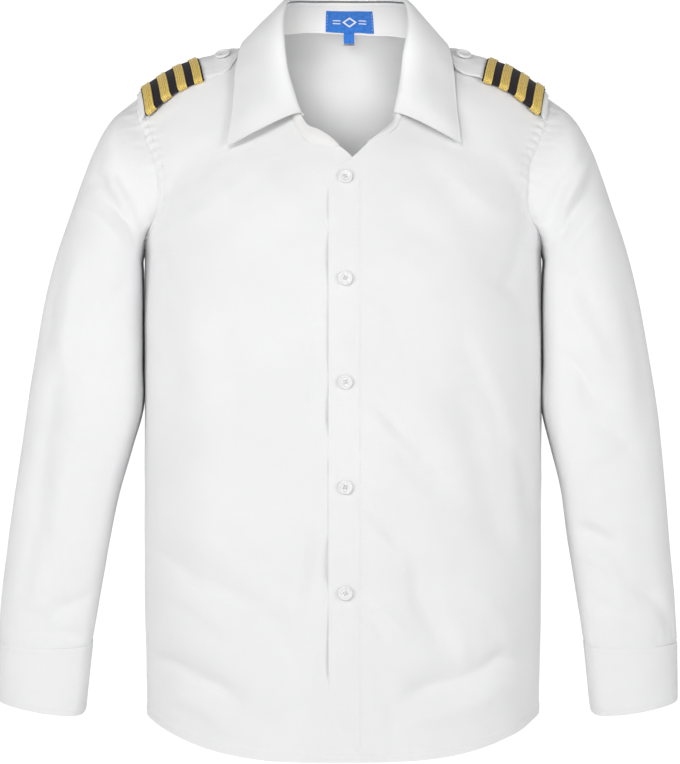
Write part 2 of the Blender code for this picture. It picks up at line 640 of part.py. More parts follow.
def neck_way(loop):
    """Way round the neck seam: 0 at the right front end, 1 at the middle back, 2 at the left."""
    step = np.linalg.norm(np.diff(loop, axis=0), axis=1)
    length = np.concatenate([[0], np.cumsum(step)])
    behind = np.where(loop[:, 1] > 0)[0]
    middle = np.interp(NECK_SHIFT, loop[behind, 0], length[behind])
    return np.where(length < middle, length / middle,
                    2 - (length[-1] - length) / (length[-1] - middle))


def round_neck(right_rows, left_rows):
    """Rows of both sides in one list with the way round the neck in place of the seam share."""
    return list(right_rows) + [(2 - row[0],) + tuple(row[1:]) for row in left_rows[-2::-1]]


def stand_top(way):
    """Top edge of the stand at each way round the neck."""
    rows = round_neck(STAND_RIGHT_ROWS, STAND_LEFT_ROWS)
    edge = np.stack([table(STAND_COLUMNS, rows, name) for name in ("x", "y", "z")], axis=-1)
    return smooth(way, table(STAND_COLUMNS, rows, "seam"), edge)


def stand_grid(loop):
    """Points and normals of the collar stand, from the neck seam up to its top edge."""
    top = stand_top(neck_way(loop))
    up = np.array(STAND_ROWS_UP)[:, None, None]
    points = loop + (top - loop) * up
    normals = -grid_normals(points)
    bow = STAND_BOW * np.sin(np.pi * up)
    points = points + normals * bow
    return points, normals


def on_body(face, x, z):
    """Point and normal of the folded body surface at an x and z on its front or back."""
    arch = FRONT_ARCH if face == "front" else BACK_ARCH
    h = np.clip((z - UNDERARM_Z) / (ridge_height(x) - UNDERARM_Z), 0, 1)
    level = np.degrees(np.arcsin(h ** (arch / 2))) / 90
    angle = angle_at(x, chest_half_width(h))
    if face == "back":
        angle = 180 - angle
    normal = body_normal(angle, level)
    return folded(body_point(angle, level), normal), normal


def leaf_stations():
    """Way round the neck, outer edge point, its normal and the section's numbers."""
    rows = round_neck(LEAF_RIGHT_ROWS, LEAF_LEFT_ROWS)
    edge, normal, shape = [], [], []
    for row in rows:
        cells = dict(zip(LEAF_COLUMNS, row))
        point, out = on_body(cells["face"], cells["edge_x"], cells["edge_z"])
        edge.append(point + out * cells["lift"])
        normal.append(out)
        shape.append([cells[name] for name in ("rise", "turn", "bulge", "reach")])
    seam = np.array(table(LEAF_COLUMNS, rows, "seam"))
    return seam, np.array(edge), np.array(normal), np.array(shape)


def leaf_columns(way, first, last):
    """Way of each column of the leaf: the stand's columns, and halfway where they are far apart."""
    own = way[(way > first + LEAF_END_CELL) & (way < last - LEAF_END_CELL)]
    own = np.concatenate([[first], own, [last]])
    halfway = (own[1:] + own[:-1])[np.diff(own) > LEAF_WIDE_CELL] / 2
    return np.sort(np.concatenate([own, halfway]))


def leaf_grid(stand, stand_out, way):
    """Points and normals of the collar leaf, from the stand's top edge over and down.

    Each column is a cubic curve from the stand's top edge to a point lifted off the body.
    """
    stations, edge, normal, shape = leaf_stations()
    at = leaf_columns(way, stations[0], stations[-1])
    edge, normal = smooth(at, stations, edge), unit(smooth(at, stations, normal))
    rise, turn, bulge, reach = np.moveaxis(smooth(at, stations, shape), -1, 0)[..., None]
    foot, top, out = (np.stack([np.interp(at, way, line[:, k]) for k in range(3)], axis=-1)
                      for line in (stand[0], stand[-1], stand_out[-1]))
    up = unit(top - foot)
    first = top + up * (SEAM_GAP + LEAF_START)
    second = first + up * rise + unit(out) * turn
    third = first + (edge - first) * reach + normal * bulge
    t = np.array(LEAF_ROWS_DOWN)[:, None, None]
    points = (first * (1 - t) ** 3 + 3 * second * t * (1 - t) ** 2
              + 3 * third * t ** 2 * (1 - t) + edge * t ** 3)
    return points, -grid_normals(points)


def strap_place(side, along, across, lift):
    """Points over the shoulder ridge: along is x, across the arc over it, lift above the cloth."""
    along, across, lift = np.broadcast_arrays(along, across, lift)
    points = np.empty(along.shape + (3,))
    normals = np.empty(along.shape + (3,))
    front, back = np.linspace(*RIDGE_FRONT_ARCH), np.linspace(*RIDGE_BACK_ARCH)
    level = np.concatenate([front, back]) / 90
    h = np.concatenate([arch_height(front, FRONT_ARCH), arch_height(back, BACK_ARCH)])
    for k in np.ndindex(along.shape):
        x = along[k] - STRAP["skew"] * abs(across[k])
        angle = angle_at(side * x, chest_half_width(h))
        angle[len(front):] = 180 - angle[len(front):]
        normal = body_normal(angle, level)
        section = body_point(angle, level)
        arc = np.concatenate([[0], np.cumsum(np.linalg.norm(np.diff(section, axis=0), axis=1))])
        arc -= arc[len(front) - 1]
        points[k] = [np.interp(across[k], arc, section[:, n]) for n in range(3)]
        normals[k] = [np.interp(across[k], arc, normal[:, n]) for n in range(3)]
    normals = unit(normals)
    return points + normals * lift[..., None], normals


def strap_grid(side):
    """Shoulder strap from the armhole seam to its blunt point, raised over the slider."""
    point = np.linspace(STRAP["shoulder"], STRAP["tip"], STRAP_POINT_ROWS)
    along = np.concatenate([[STRAP["root"]], STRAP_ALONG, point])
    ends = [STRAP["tip"], STRAP["shoulder"]]
    front = np.interp(along, ends, [STRAP["tip_front"], STRAP["front"]])[:, None]
    back = np.interp(along, ends, [STRAP["tip_back"], STRAP["back"]])[:, None]
    lift = STRAP_LIFT_LOW + (STRAP_LIFT_HIGH - STRAP_LIFT_LOW) * (
        ease(along, *STRAP_RISE) * (1 - ease(along, *STRAP_FALL)))
    across = front + (back - front) * np.array(STRAP_ACROSS_SHARE)
    return strap_place(side, along[:, None], across, lift[:, None])


def slider_loop():
    """Section of the slider round the strap: across and lift of points round the loop."""
    s = SLIDER
    span = np.linspace(s["front"] + s["round"], s["back"] - s["round"], SLIDER_SPAN_POINTS)
    middle = (s["low"] + s["high"]) / 2
    turn = np.radians(SLIDER_NOSE_ANGLES)
    half = (s["high"] - s["low"]) / 2
    nose_x = np.cos(turn) * s["round"]
    nose_y = np.sin(turn) * half
    across = np.concatenate([span, s["back"] - s["round"] + nose_x, span[::-1],
                             s["front"] + s["round"] - nose_x])
    lift = np.concatenate([np.full(len(span), s["low"]), middle + nose_y,
                           np.full(len(span), s["high"]), middle - nose_y])
    return across, lift


def slider_rows(share):
    """x of a line across the slider at a share of its length from its inner end."""
    return SLIDER["inner"] + (SLIDER["outer"] - SLIDER["inner"]) * np.asarray(share)


def make_slider(side, name):
    """Rank slider: a flat tube of dark cloth round the strap."""
    across, lift = slider_loop()
    along = slider_rows(np.linspace(0, 1, SLIDER_ROWS))[:, None]
    grid = strap_place(side, *np.broadcast_arrays(along, across, lift))[0]
    normals = grid_normals(grid, ring=True)
    middle = grid.mean(axis=1, keepdims=True)
    if np.sum((grid - middle) * normals) < 0:
        normals = -normals
    return make_wall(name, grid, normals, SLIDER["wall"], DARK_CLOTH, ring=True)


def make_bars(side, tag):
    """Four gold bars across the slider."""
    across = np.linspace(SLIDER["front"] + BAR_INSET, SLIDER["back"] - BAR_INSET, BAR_POINTS)
    margin = (1 - BAR_COUNT * BAR_LENGTH_SHARE - (BAR_COUNT - 1) * BAR_GAP_SHARE) / 2
    for number in range(BAR_COUNT):
        first = margin + number * (BAR_LENGTH_SHARE + BAR_GAP_SHARE)
        along = slider_rows([first, first + BAR_LENGTH_SHARE / 2, first + BAR_LENGTH_SHARE])
        points, normals = strap_place(side, *np.broadcast_arrays(along[:, None], across, BAR_LIFT))
        make_wall("bar_%s_%d" % (tag, number + 1), points, normals, BAR_WALL, GOLD_BRAID)


def button_profile(radius):
    """Radius and height pairs down a button from its dished face to its back."""
    dish = radius * BUTTON_DISH["share"]
    floor = BUTTON_THICK - BUTTON_DISH["depth"]
    return ((0.0, floor), (dish, floor), (dish + BUTTON_DISH["slope"], BUTTON_THICK),
            (radius - BUTTON_EDGE["top"], BUTTON_THICK), (radius - BUTTON_EDGE["foot"], 0.0),
            (0.0, 0.0))


def turned(profile, segments=BUTTON_SIDES):
    """Points and triangles of a profile turned round the z axis."""
    turn = np.linspace(0, 2 * np.pi, segments, endpoint=False)
    rings = [np.stack([r * np.cos(turn), r * np.sin(turn), np.full(segments, z)], -1)
             for r, z in profile[1:-1]]
    points = np.concatenate(rings + [[[0, 0, profile[0][1]], [0, 0, profile[-1][1]]]])
    index = np.arange(len(rings) * segments).reshape(len(rings), segments)
    index = np.concatenate([index, index[:, :1]], axis=1)
    a, b = index[:-1, :-1].ravel(), index[:-1, 1:].ravel()
    c, d = index[1:, 1:].ravel(), index[1:, :-1].ravel()
    top, foot = len(points) - 2, len(points) - 1
    first, last = index[0], index[-1]
    caps = [np.stack([np.full(segments, top), first[1:], first[:-1]], 1),
            np.stack([np.full(segments, foot), last[:-1], last[1:]], 1)]
    return points, np.concatenate([np.stack([a, b, c], 1), np.stack([a, c, d], 1)] + caps)


def place_button(name, radius, seat, normal):
    """Button with its back just off the cloth and its face along the normal."""
    points, faces = turned(button_profile(radius))
    made = make_object(name, points, faces, WHITE_BUTTON)
    made.location = Vector((seat + normal * BUTTON_SEAT) * MM)
    made.rotation_euler = Vector(normal).to_track_quat("Z", "Y").to_euler()
    return made


def along_line(x, line, values):
    """Values at each x along a line."""
    return np.stack([np.interp(x, line[:, 0], values[:, k]) for k in range(3)], axis=-1)


def make_label(stand_points, stand_normals):
    """Neck label inside the back of the stand, and the size tab below it."""
    behind = np.where(stand_points[0, :, 1] > BEHIND_Y)[0]
    across = np.linspace(LABEL["left"], LABEL["right"], LABEL_POINTS)
    points, normals = [], []
    for share in np.linspace(LABEL["low"], LABEL["high"], 3):
        line = stand_points[0] + (stand_points[-1] - stand_points[0]) * share
        line = line + stand_normals[1] * STAND_BOW * math.sin(math.pi * share)
        points.append(along_line(across, line[behind], line[behind]))
        normals.append(along_line(across, line[behind], stand_normals[1][behind]))
    normals = unit(np.array(normals))
    points = np.array(points) - normals * (COLLAR_WALL / 2 + LABEL["lift"])
    make_wall("neck_label", points, normals, LABEL["wall"], BLUE_LABEL)
    tab_x = np.array([TAB["left"], TAB["right"]])
    edge = np.stack([np.interp(tab_x, across, points[0, :, k]) for k in range(3)], axis=-1)
    drop = np.array([TAB["gap"], TAB["drop"] + TAB["gap"]])[:, None, None]
    tab = edge[None] - np.array([0, 0, 1.0]) * drop
    make_wall("size_tab", tab, np.broadcast_to([0, -1.0, 0], tab.shape), TAB["wall"], BLUE_LABEL)


def clear_scene():
    """Remove what the scene starts with."""
    for made in list(bpy.data.objects):
        bpy.data.objects.remove(made, do_unlink=True)


def sew_sleeve(side, tag, front, back, panels):
    """Sleeve and cuff, with the front, the back and the sleeve set back from the armhole seam."""
    low = len(HEM_LEVELS)
    under = len(FRONT_ARCH_ANGLES) - 1
    column, beside = (-1, -2) if side > 0 else (0, 1)
    loop = arm_loop(front, back[0][:, column])
    sleeve, sleeve_out = sleeve_grid(side, loop, under)

    body_out = np.concatenate([front[1][low:, -1][::-1], back[1][low:, column][1:-1]])
    keep = set_back(body_out, sleeve_out[0])
    front_in = (front[0][low:, -2][::-1] + front[0][low - 1:-1, -1][::-1]
                - 2 * loop[:under + 1])
    back_in = (back[0][low:, beside][1:-1] + back[0][low - 1:-1, column][1:-1]
               - 2 * loop[under + 1:])
    body_in = inward(body_out, loop, np.concatenate([front_in, back_in]), True)
    panels[side][low:, -1] += (body_in * keep)[:under + 1][::-1]

    # The back meets the seam at the underarm and at the shoulder too
    back_edge = np.concatenate([[under], np.arange(under + 1, len(loop)), [0]])
    back_out = body_out.copy()
    back_out[[0, under]] = back[1][[-1, low], column]
    back_move = inward(back_out, loop, body_in, True) * set_back(back_out, sleeve_out[0])
    panels["back"][low:, column] += back_move[back_edge]

    sleeve[0] += inward(sleeve_out[0], loop, sleeve[1] - sleeve[0], True) * keep
    keep_back(sleeve, -1, -2)
    elbow = 1 + ELBOW_ROW
    upper, lower = sleeve[:elbow + 1].copy(), sleeve[elbow:].copy()
    keep_back(upper, -1, -2)
    keep_back(lower, 0, 1)
    make_wall("sleeve_upper_" + tag, upper, sleeve_out[:elbow + 1], WALL, WHITE_CLOTH, ring=True)
    make_wall("sleeve_lower_" + tag, lower, sleeve_out[elbow:], WALL, WHITE_CLOTH, ring=True)

    cuff, cuff_out = cuff_grid(side)
    keep_back(cuff, 0, 1)
    make_wall("cuff_" + tag, cuff, cuff_out, WALL, WHITE_CLOTH)
    seat, out = cuff[1, CUFF_BUTTON_COLUMN], cuff_out[1, CUFF_BUTTON_COLUMN]
    place_button("cuff_button_" + tag, CUFF_BUTTON_RADIUS, seat + out * WALL / 2, out)


def sew_strap(side, tag):
    """Shoulder strap with its button, slider and bars."""
    strap, strap_out = strap_grid(side)
    make_wall("strap_" + tag, strap, strap_out, STRAP["wall"], WHITE_CLOTH)
    along, across = np.array(STRAP_BUTTON_PLACE)[:, None]
    seat, out = strap_place(side, along, across, STRAP_LIFT_LOW + STRAP["wall"] / 2)
    place_button("strap_button_" + tag, STRAP_BUTTON_RADIUS, seat[0], out[0])
    make_slider(side, "slider_" + tag)
    make_bars(side, tag)


def sew_collar(right, left, back, panels):
    """Stand, label and leaf, with the stand and the panels set back from the neck seam."""
    loop, start_right, start_left = neck_loop(right, left, back)
    stand, stand_out = stand_grid(loop)
    count_right = len(right[0]) - start_right
    count_left = len(left[0]) - start_left
    neck = slice(FRONT_CELLS, FRONT_CELLS + NECK_CELLS + 1)
    body_out = np.concatenate([right[1][start_right:, 0], back[1][-1, neck][1:-1],
                               left[1][start_left:, 0][::-1]])
    away = np.concatenate([
        (right[0][:, 1] - right[0][:, 0])[start_right:],
        (back[0][-2] - back[0][-1])[neck][1:-1],
        (left[0][:, 1] - left[0][:, 0])[start_left:][::-1]])
    keep = set_back(body_out, stand_out[0])
    move = inward(body_out, loop, away, False) * keep
    panels[-1][start_right:, 0] += move[:count_right]
    panels["back"][-1, neck] += move[count_right - 1:len(loop) - count_left + 1]
    panels[1][start_left:, 0] += move[len(loop) - count_left:][::-1]
    stand[0] += unit(stand[1] - stand[0]) * keep
    make_wall("collar_stand", stand, stand_out, COLLAR_WALL, WHITE_CLOTH)
    make_label(stand, stand_out)
    leaf, leaf_out = leaf_grid(stand, stand_out, neck_way(loop))
    make_wall("collar_leaf", leaf, leaf_out, COLLAR_WALL, WHITE_CLOTH)


def sew_panels(fronts, back, panels):
    """Fronts and back, kept apart at the side seams and along the shoulders."""
    sides = slice(0, len(HEM_LEVELS) + 1)
    for side, tag in SIDES:
        keep_back(panels[side], (sides, -1), (sides, -2))
        keep_back(panels[side], -1, -2)
        make_wall("front_" + tag, panels[side], fronts[side][1], WALL, WHITE_CLOTH)
    panel = panels["back"]
    for column, beside in ((0, 1), (-1, -2)):
        keep_back(panel, (sides, column), (sides, beside))
    shoulder = np.r_[0:FRONT_CELLS + 1, FRONT_CELLS + NECK_CELLS:panel.shape[1]]
    keep_back(panel, (-1, shoulder), (-2, shoulder))
    make_wall("back", panel, back[1], WALL, WHITE_CLOTH)


def on_front(x, z):
    """Point and normal of the folded front at an x and z, above or below the underarm."""
    if z > UNDERARM_Z:
        return on_body("front", x, z)
    hem = HEM_CENTRE_Z + HEM_RISE * (abs(x) / HEM_HALF_WIDTH) ** HEM_POWER
    v = (z - UNDERARM_Z) / (hem - UNDERARM_Z)
    angle = angle_at(x, SIDE_HALF_WIDTH)
    normal = body_normal(angle, -v)
    return folded(body_point(angle, -v), normal), normal


def sew_buttons():
    """Front buttons on the top layer."""
    for number, z in enumerate(BUTTON_Z):
        seat, out = on_front(BUTTON_X, z)
        lifted = seat + out * (LAP_LIFT + WALL / 2)
        place_button("button_%d" % (number + 1), BUTTON_RADIUS, lifted, out)


def make_shirt():
    """All pieces of the shirt."""
    clear_scene()
    fronts = {side: front_grid(side) for side, _ in SIDES}
    back = back_grid()
    panels = {side: fronts[side][0].copy() for side, _ in SIDES}
    panels["back"] = back[0].copy()
    for side, tag in SIDES:
        sew_sleeve(side, tag, fronts[side], back, panels)
        sew_strap(side, tag)
    sew_collar(fronts[-1], fronts[1], back, panels)
    sew_panels(fronts, back, panels)
    sew_buttons()


make_shirt()
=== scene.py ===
# Long-sleeved shirt with shoulder straps and braided rank sliders, worn shape with nothing inside.
# Sizes are in millimetres until a mesh is made; +Z is up and the front faces -Y.
import math

import bpy
import numpy as np
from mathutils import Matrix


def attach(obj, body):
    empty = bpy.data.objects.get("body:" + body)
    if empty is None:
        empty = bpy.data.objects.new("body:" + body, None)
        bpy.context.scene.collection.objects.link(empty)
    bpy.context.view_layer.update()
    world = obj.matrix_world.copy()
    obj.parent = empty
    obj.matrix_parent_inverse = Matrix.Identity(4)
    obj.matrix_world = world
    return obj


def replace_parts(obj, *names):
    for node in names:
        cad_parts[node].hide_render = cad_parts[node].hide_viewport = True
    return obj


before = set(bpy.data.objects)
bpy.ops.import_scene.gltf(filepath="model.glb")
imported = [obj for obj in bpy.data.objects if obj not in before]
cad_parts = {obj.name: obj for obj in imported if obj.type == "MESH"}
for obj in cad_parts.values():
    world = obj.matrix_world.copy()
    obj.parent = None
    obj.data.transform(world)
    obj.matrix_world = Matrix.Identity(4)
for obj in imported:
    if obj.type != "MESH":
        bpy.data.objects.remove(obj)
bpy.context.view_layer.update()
print("stage: frame loaded")

# Shape helpers


def ease(value, low, high):
    # 0 below low, 1 above high, t * t * (3 - 2 t) between
    t = np.clip((value - low) / (high - low), 0.0, 1.0)
    return t * t * (3 - 2 * t)


def unit(vectors):
    return vectors / np.maximum(np.linalg.norm(vectors, axis=-1, keepdims=True), 1e-9)


def smooth(at, rows, values, steady=False):
    # cubic through a table's rows; slopes are those of the parabola through three rows, or the
    # harmonic mean of the two neighbouring slopes when steady, which never overshoots
    rows, values = np.asarray(rows, float), np.asarray(values, float)
    at = np.clip(np.asarray(at, float), rows[0], rows[-1])
    tail = (1,) * (values.ndim - 1)
    step = np.diff(rows).reshape((-1,) + tail)
    rise = np.diff(values, axis=0) / step
    slope = np.empty_like(values)
    slope[0], slope[-1] = rise[0], rise[-1]
    if steady:
        product = rise[:-1] * rise[1:]
        total = rise[:-1] + rise[1:]
        slope[1:-1] = np.where(product > 0, 2 * product / np.where(total == 0, 1, total), 0)
    else:
        slope[1:-1] = (rise[:-1] * step[1:] + rise[1:] * step[:-1]) / (step[:-1] + step[1:])
    cell = np.clip(np.searchsorted(rows, at, side="right") - 1, 0, len(rows) - 2)
    width = step[cell]
    t = (at - rows[cell]).reshape(at.shape + tail) / width
    return (values[cell] * (1 - t) ** 2 * (1 + 2 * t) + values[cell + 1] * t ** 2 * (3 - 2 * t)
            + width * t * (1 - t) * (slope[cell] * (1 - t) - slope[cell + 1] * t))


def pick(rows, number):
    return [row[number] for row in rows]


def gridNormals(points, ring=False):
    # cross product of the differences along the grid's rows and columns
    if ring:
        around = np.roll(points, -1, axis=1) - np.roll(points, 1, axis=1)
    else:
        around = np.gradient(points, axis=1)
    return unit(np.cross(around, np.gradient(points, axis=0)))


def facing(normals, points, centre):
    # normals turned so that most point away from the centre
    return normals if np.sum(normals * (points - centre)) > 0 else -normals


def wander(points, size, seed, count=6):
    # soft uneven height from -1 to 1: the mean of sine waves in seeded directions, about size long
    rng = np.random.default_rng(seed)
    total = np.zeros(points.shape[:-1])
    for _ in range(count):
        way = unit(rng.normal(size=3)) * 2 * np.pi / (size * rng.uniform(0.7, 1.5))
        total += np.sin(points @ way + rng.uniform(0, 6.28))
    return total / math.sqrt(count)


def runLength(points, axis):
    # distance along a grid's lines, in millimetres, from the first point of each
    step = np.linalg.norm(np.diff(points, axis=axis), axis=-1)
    start = np.zeros_like(np.take(step, [0], axis=axis))
    return np.concatenate([start, np.cumsum(step, axis=axis)], axis=axis)


def follow(at, run, line):
    # points of a line at the given places along its run
    return np.stack([np.interp(at, run, line[:, k]) for k in range(3)], axis=-1)


def bump(distance, place, width):
    # 1 at the place, falling off as exp(-t squared), t counted in widths
    return np.exp(-((distance - place) / width) ** 2)


def sampleGrid(grid, row, column):
    # values of a grid at fractional rows and columns, mixed from the four nearest points
    row = np.clip(row, 0, grid.shape[0] - 1.001)
    column = np.clip(column, 0, grid.shape[1] - 1.001)
    r, c = row.astype(int), column.astype(int)
    fr, fc = (row - r)[..., None], (column - c)[..., None]
    return ((grid[r, c] * (1 - fc) + grid[r, c + 1] * fc) * (1 - fr)
            + (grid[r + 1, c] * (1 - fc) + grid[r + 1, c + 1] * fc) * fr)


# Shader maths: a socket that takes part in Python expressions


class Wire:
    def __init__(self, tree, socket):
        self.tree = tree
        self.socket = socket

    def node(self, kind, settings=None, **inputs):
        return makeNode(self.tree, kind, settings, inputs)

    def math(self, operation, a, b=None):
        values = {str(n): v for n, v in enumerate((a, b)) if v is not None}
        return makeNode(self.tree, "ShaderNodeMath", {"operation": operation}, values)

    def output(self, number):
        # another output of the same node
        return Wire(self.tree, self.socket.node.outputs[number])

    def noise(self, scale, detail, **more):
        return self.node("ShaderNodeTexNoise", None, Vector=self, Scale=scale, Detail=detail, **more)

    def __add__(self, other):
        return self.math("ADD", self, other)

    def __radd__(self, other):
        return self.math("ADD", other, self)

    def __sub__(self, other):
        return self.math("SUBTRACT", self, other)

    def __rsub__(self, other):
        return self.math("SUBTRACT", other, self)

    def __mul__(self, other):
        return self.math("MULTIPLY", self, other)

    def __rmul__(self, other):
        return self.math("MULTIPLY", other, self)

    def sine(self):
        return self.math("SINE", self)

    def size(self):
        # the value without its sign
        return self.math("ABSOLUTE", self)

    def most(self, other):
        return self.math("MAXIMUM", self, other)

    def fold(self, low, high):
        # 0 below low, 1 above high
        return self.node("ShaderNodeMapRange", {"interpolation_type": "SMOOTHSTEP"}, **{
            "Value": self, "From Min": low, "From Max": high})


def makeNode(tree, kind, settings=None, inputs=None, output=0):
    # a node from its type, its settings and the values or wires of its inputs, by name or number
    node = tree.nodes.new(kind)
    for name, value in (settings or {}).items():
        setattr(node, name, value)
    for name, value in (inputs or {}).items():
        socket = node.inputs[int(name)] if name.isdigit() else node.inputs[name]
        if isinstance(value, Wire):
            tree.links.new(value.socket, socket)
        else:
            socket.default_value = value
    return Wire(tree, node.outputs[output])


def startMaterial(name, roughness, **fixed):
    # a Principled material with its constants on the shader's own sockets
    material = bpy.data.materials.new(name)
    material.use_nodes = True
    tree = material.node_tree
    shader = tree.nodes["Principled BSDF"]
    shader.inputs["Roughness"].default_value = roughness
    for key, value in fixed.items():
        shader.inputs[key.replace("_", " ")].default_value = value
    return material, tree, shader


def mixColour(factor, a, b):
    # colour a where the factor is 0, colour b where it is 1
    return makeNode(factor.tree, "ShaderNodeMix", {"data_type": "RGBA"},
                    {"0": factor, "6": a, "7": b}, output=2)


def dimmer(colour, share):
    return tuple(c * share for c in colour[:3]) + (1.0,)


def clothPlace(tree):
    # the piece's own cloth metres, then the parts of it across and along
    place = makeNode(tree, "ShaderNodeUVMap", {"uv_map": "cloth"})
    split = makeNode(tree, "ShaderNodeSeparateXYZ", None, {"Vector": place})
    return place, split.output(0), split.output(1)


def objectPlace(tree):
    return makeNode(tree, "ShaderNodeTexCoord", output=3)


def feed(tree, shader, colour=None, height=None, distance=0.0002, strength=1.0, roughness=None):
    # links the wires that vary over the surface to the shader
    if colour is not None:
        tree.links.new(colour.socket, shader.inputs["Base Color"])
    if roughness is not None:
        tree.links.new(roughness.socket, shader.inputs["Roughness"])
    if height is not None:
        relief = makeNode(tree, "ShaderNodeBump", None, {
            "Height": height, "Distance": distance, "Strength": strength})
        tree.links.new(relief.socket, shader.inputs["Normal"])


poplin = {
    "colour": (0.855, 0.855, 0.858, 1.0), "shade": (0.825, 0.825, 0.830, 1.0),
    # this warmer, darker white is painted shade from inside the neck, worn by the collar stand
    "insideShade": (0.85, 0.835, 0.80, 1.0),
    "thread": 0.42, "slubRate": (700.0, 70.0), "relief": 0.00006, "roughness": 0.82,
}


def weaveHeight(tree, thread):
    # plain weave on the cloth's own metres: two crossed rows of threads, each over and under
    place, across, along = clothPlace(tree)
    rate = 2 * math.pi * 1000 / thread
    return place, (across * rate).sine() * 0.5 + (along * rate).sine() * 0.5


def makePoplin(name, colour, shade):
    # white poplin: fine weave, uneven threads both ways, a faint cloud of tone
    material, tree, shader = startMaterial(name, poplin["roughness"], Sheen_Weight=0.12,
                                           Sheen_Roughness=0.45, Specular_IOR_Level=0.3)
    place, weave = weaveHeight(tree, poplin["thread"])
    fine, coarse = poplin["slubRate"]
    weft, warp = [place.node("ShaderNodeMapping", None, Vector=place, Scale=stretch).noise(1.0, 2.0)
                  for stretch in ((fine, coarse, 1.0), (coarse, fine, 1.0))]
    slubs = weft + warp
    cloud = objectPlace(tree).noise(14.0, 3.0)
    tone = (cloud * 0.7 + slubs * 0.15).fold(0.3, 0.75)
    feed(tree, shader, mixColour(tone, shade, colour), weave * 0.5 + slubs * 0.8,
         poplin["relief"], 0.6)
    return material


whiteCloth = makePoplin("white_poplin_cloth", poplin["colour"], poplin["shade"])
# the collar stand's copy of the poplin, warmer and darker: painted shade from inside the neck
insideShadeCloth = makePoplin("white_poplin_painted_inside_shade", poplin["insideShade"], poplin["shade"])


def makeThread(name, colour, roughness, twist):
    # sewing thread: fine twist across the object's own metres
    material, tree, shader = startMaterial(name, roughness, Specular_IOR_Level=0.35)
    noise = objectPlace(tree).noise(twist, 1.0)
    feed(tree, shader, mixColour(noise.fold(0.3, 0.7), dimmer(colour, 0.86), colour), noise, 0.0001, 0.5)
    return material


whiteThread = makeThread("white_sewing_thread", (0.86, 0.86, 0.865, 1.0), 0.6, 1800.0)


def makeShell():
    # moulded button: bright, faint swirls, small scratches in its gloss
    material, tree, shader = startMaterial("button_white_shell", 0.3, Coat_Weight=0.25, Coat_Roughness=0.2)
    swirl = objectPlace(tree).noise(260.0, 4.0, Distortion=1.4)
    colour = mixColour(swirl.fold(0.35, 0.7), (0.80, 0.80, 0.80, 1.0), (0.90, 0.90, 0.90, 1.0))
    feed(tree, shader, colour, swirl, 0.00008, 0.3, swirl * 0.25 + 0.2)
    return material


felt = {"dark": (0.008, 0.006, 0.010, 1.0), "light": (0.024, 0.017, 0.026, 1.0), "thread": 0.9}


def makeFelt():
    # dark slider cloth: close weave with a little nap
    material, tree, shader = startMaterial("slider_black_cloth", 0.92,
                                           Sheen_Weight=0.08, Sheen_Roughness=0.4)
    place, weave = weaveHeight(tree, felt["thread"])
    noise = place.noise(1400.0, 2.0)
    colour = mixColour(noise.fold(0.35, 0.7), felt["dark"], felt["light"])
    feed(tree, shader, colour, weave * 0.6 + noise, 0.00018, 0.8)
    return material


# light is a painted highlight for the thread crowns; dark is both a random darker tone and painted shade in
# the gaps between ribs
braid = {"dark": (0.40, 0.22, 0.02, 1.0), "gold": (0.93, 0.60, 0.075, 1.0),
         "light": (1.0, 0.82, 0.27, 1.0), "ribRate": 3927.0, "wrapRate": (3600.0, 5200.0)}


def makeGold():
    # gold braid: slanting wrapped threads over each rib; a painted highlight, uneven at random, on the
    # thread crowns, and painted brown shade in the gaps between ribs
    material, tree, shader = startMaterial("gold_braid_wire", 0.42, Sheen_Weight=0.1)
    place, across, along = clothPlace(tree)
    rateAcross, rateAlong = braid["wrapRate"]
    wrap = (across * rateAcross + along * rateAlong).sine()
    back = (across * rateAcross - along * rateAlong).sine()
    noise = place.noise(900.0, 2.0)
    # painted highlight on the thread crowns, patchy by noise
    crownHighlight = (wrap * 0.25 + back * 0.15 + noise * 1.1).fold(0.15, 0.85)
    low = mixColour(noise.fold(0.2, 0.6), braid["dark"], braid["gold"])
    colour = mixColour(crownHighlight, low, braid["light"])
    # painted shade: the gaps between ribs darkened towards brown
    gaps = (along * braid["ribRate"] + math.pi / 2).sine().fold(0.45, 1.0)
    colour = mixColour(gaps * 0.7, colour, braid["dark"])
    metal = noise.fold(0.3, 0.8) * 0.35
    tree.links.new(metal.socket, shader.inputs["Metallic"])
    feed(tree, shader, colour, wrap * 0.5 + back * 0.3 + noise * 0.6, 0.00025, 0.8)
    return material


satin = {
    "blue": (0.022, 0.20, 0.70, 1.0), "deep": (0.012, 0.14, 0.54, 1.0), "mark": (0.80, 0.83, 0.88, 1.0),
    # in metres on the label: the mark's middle, the lozenge's outer and inner reach, and the rules'
    # distance from the middle line, near end and far end
    "middle": (0.0193, 0.0085), "lozenge": (0.0043, 0.0029), "rules": (0.0012, 0.0072, 0.0135),
    "blur": 0.0003,
}


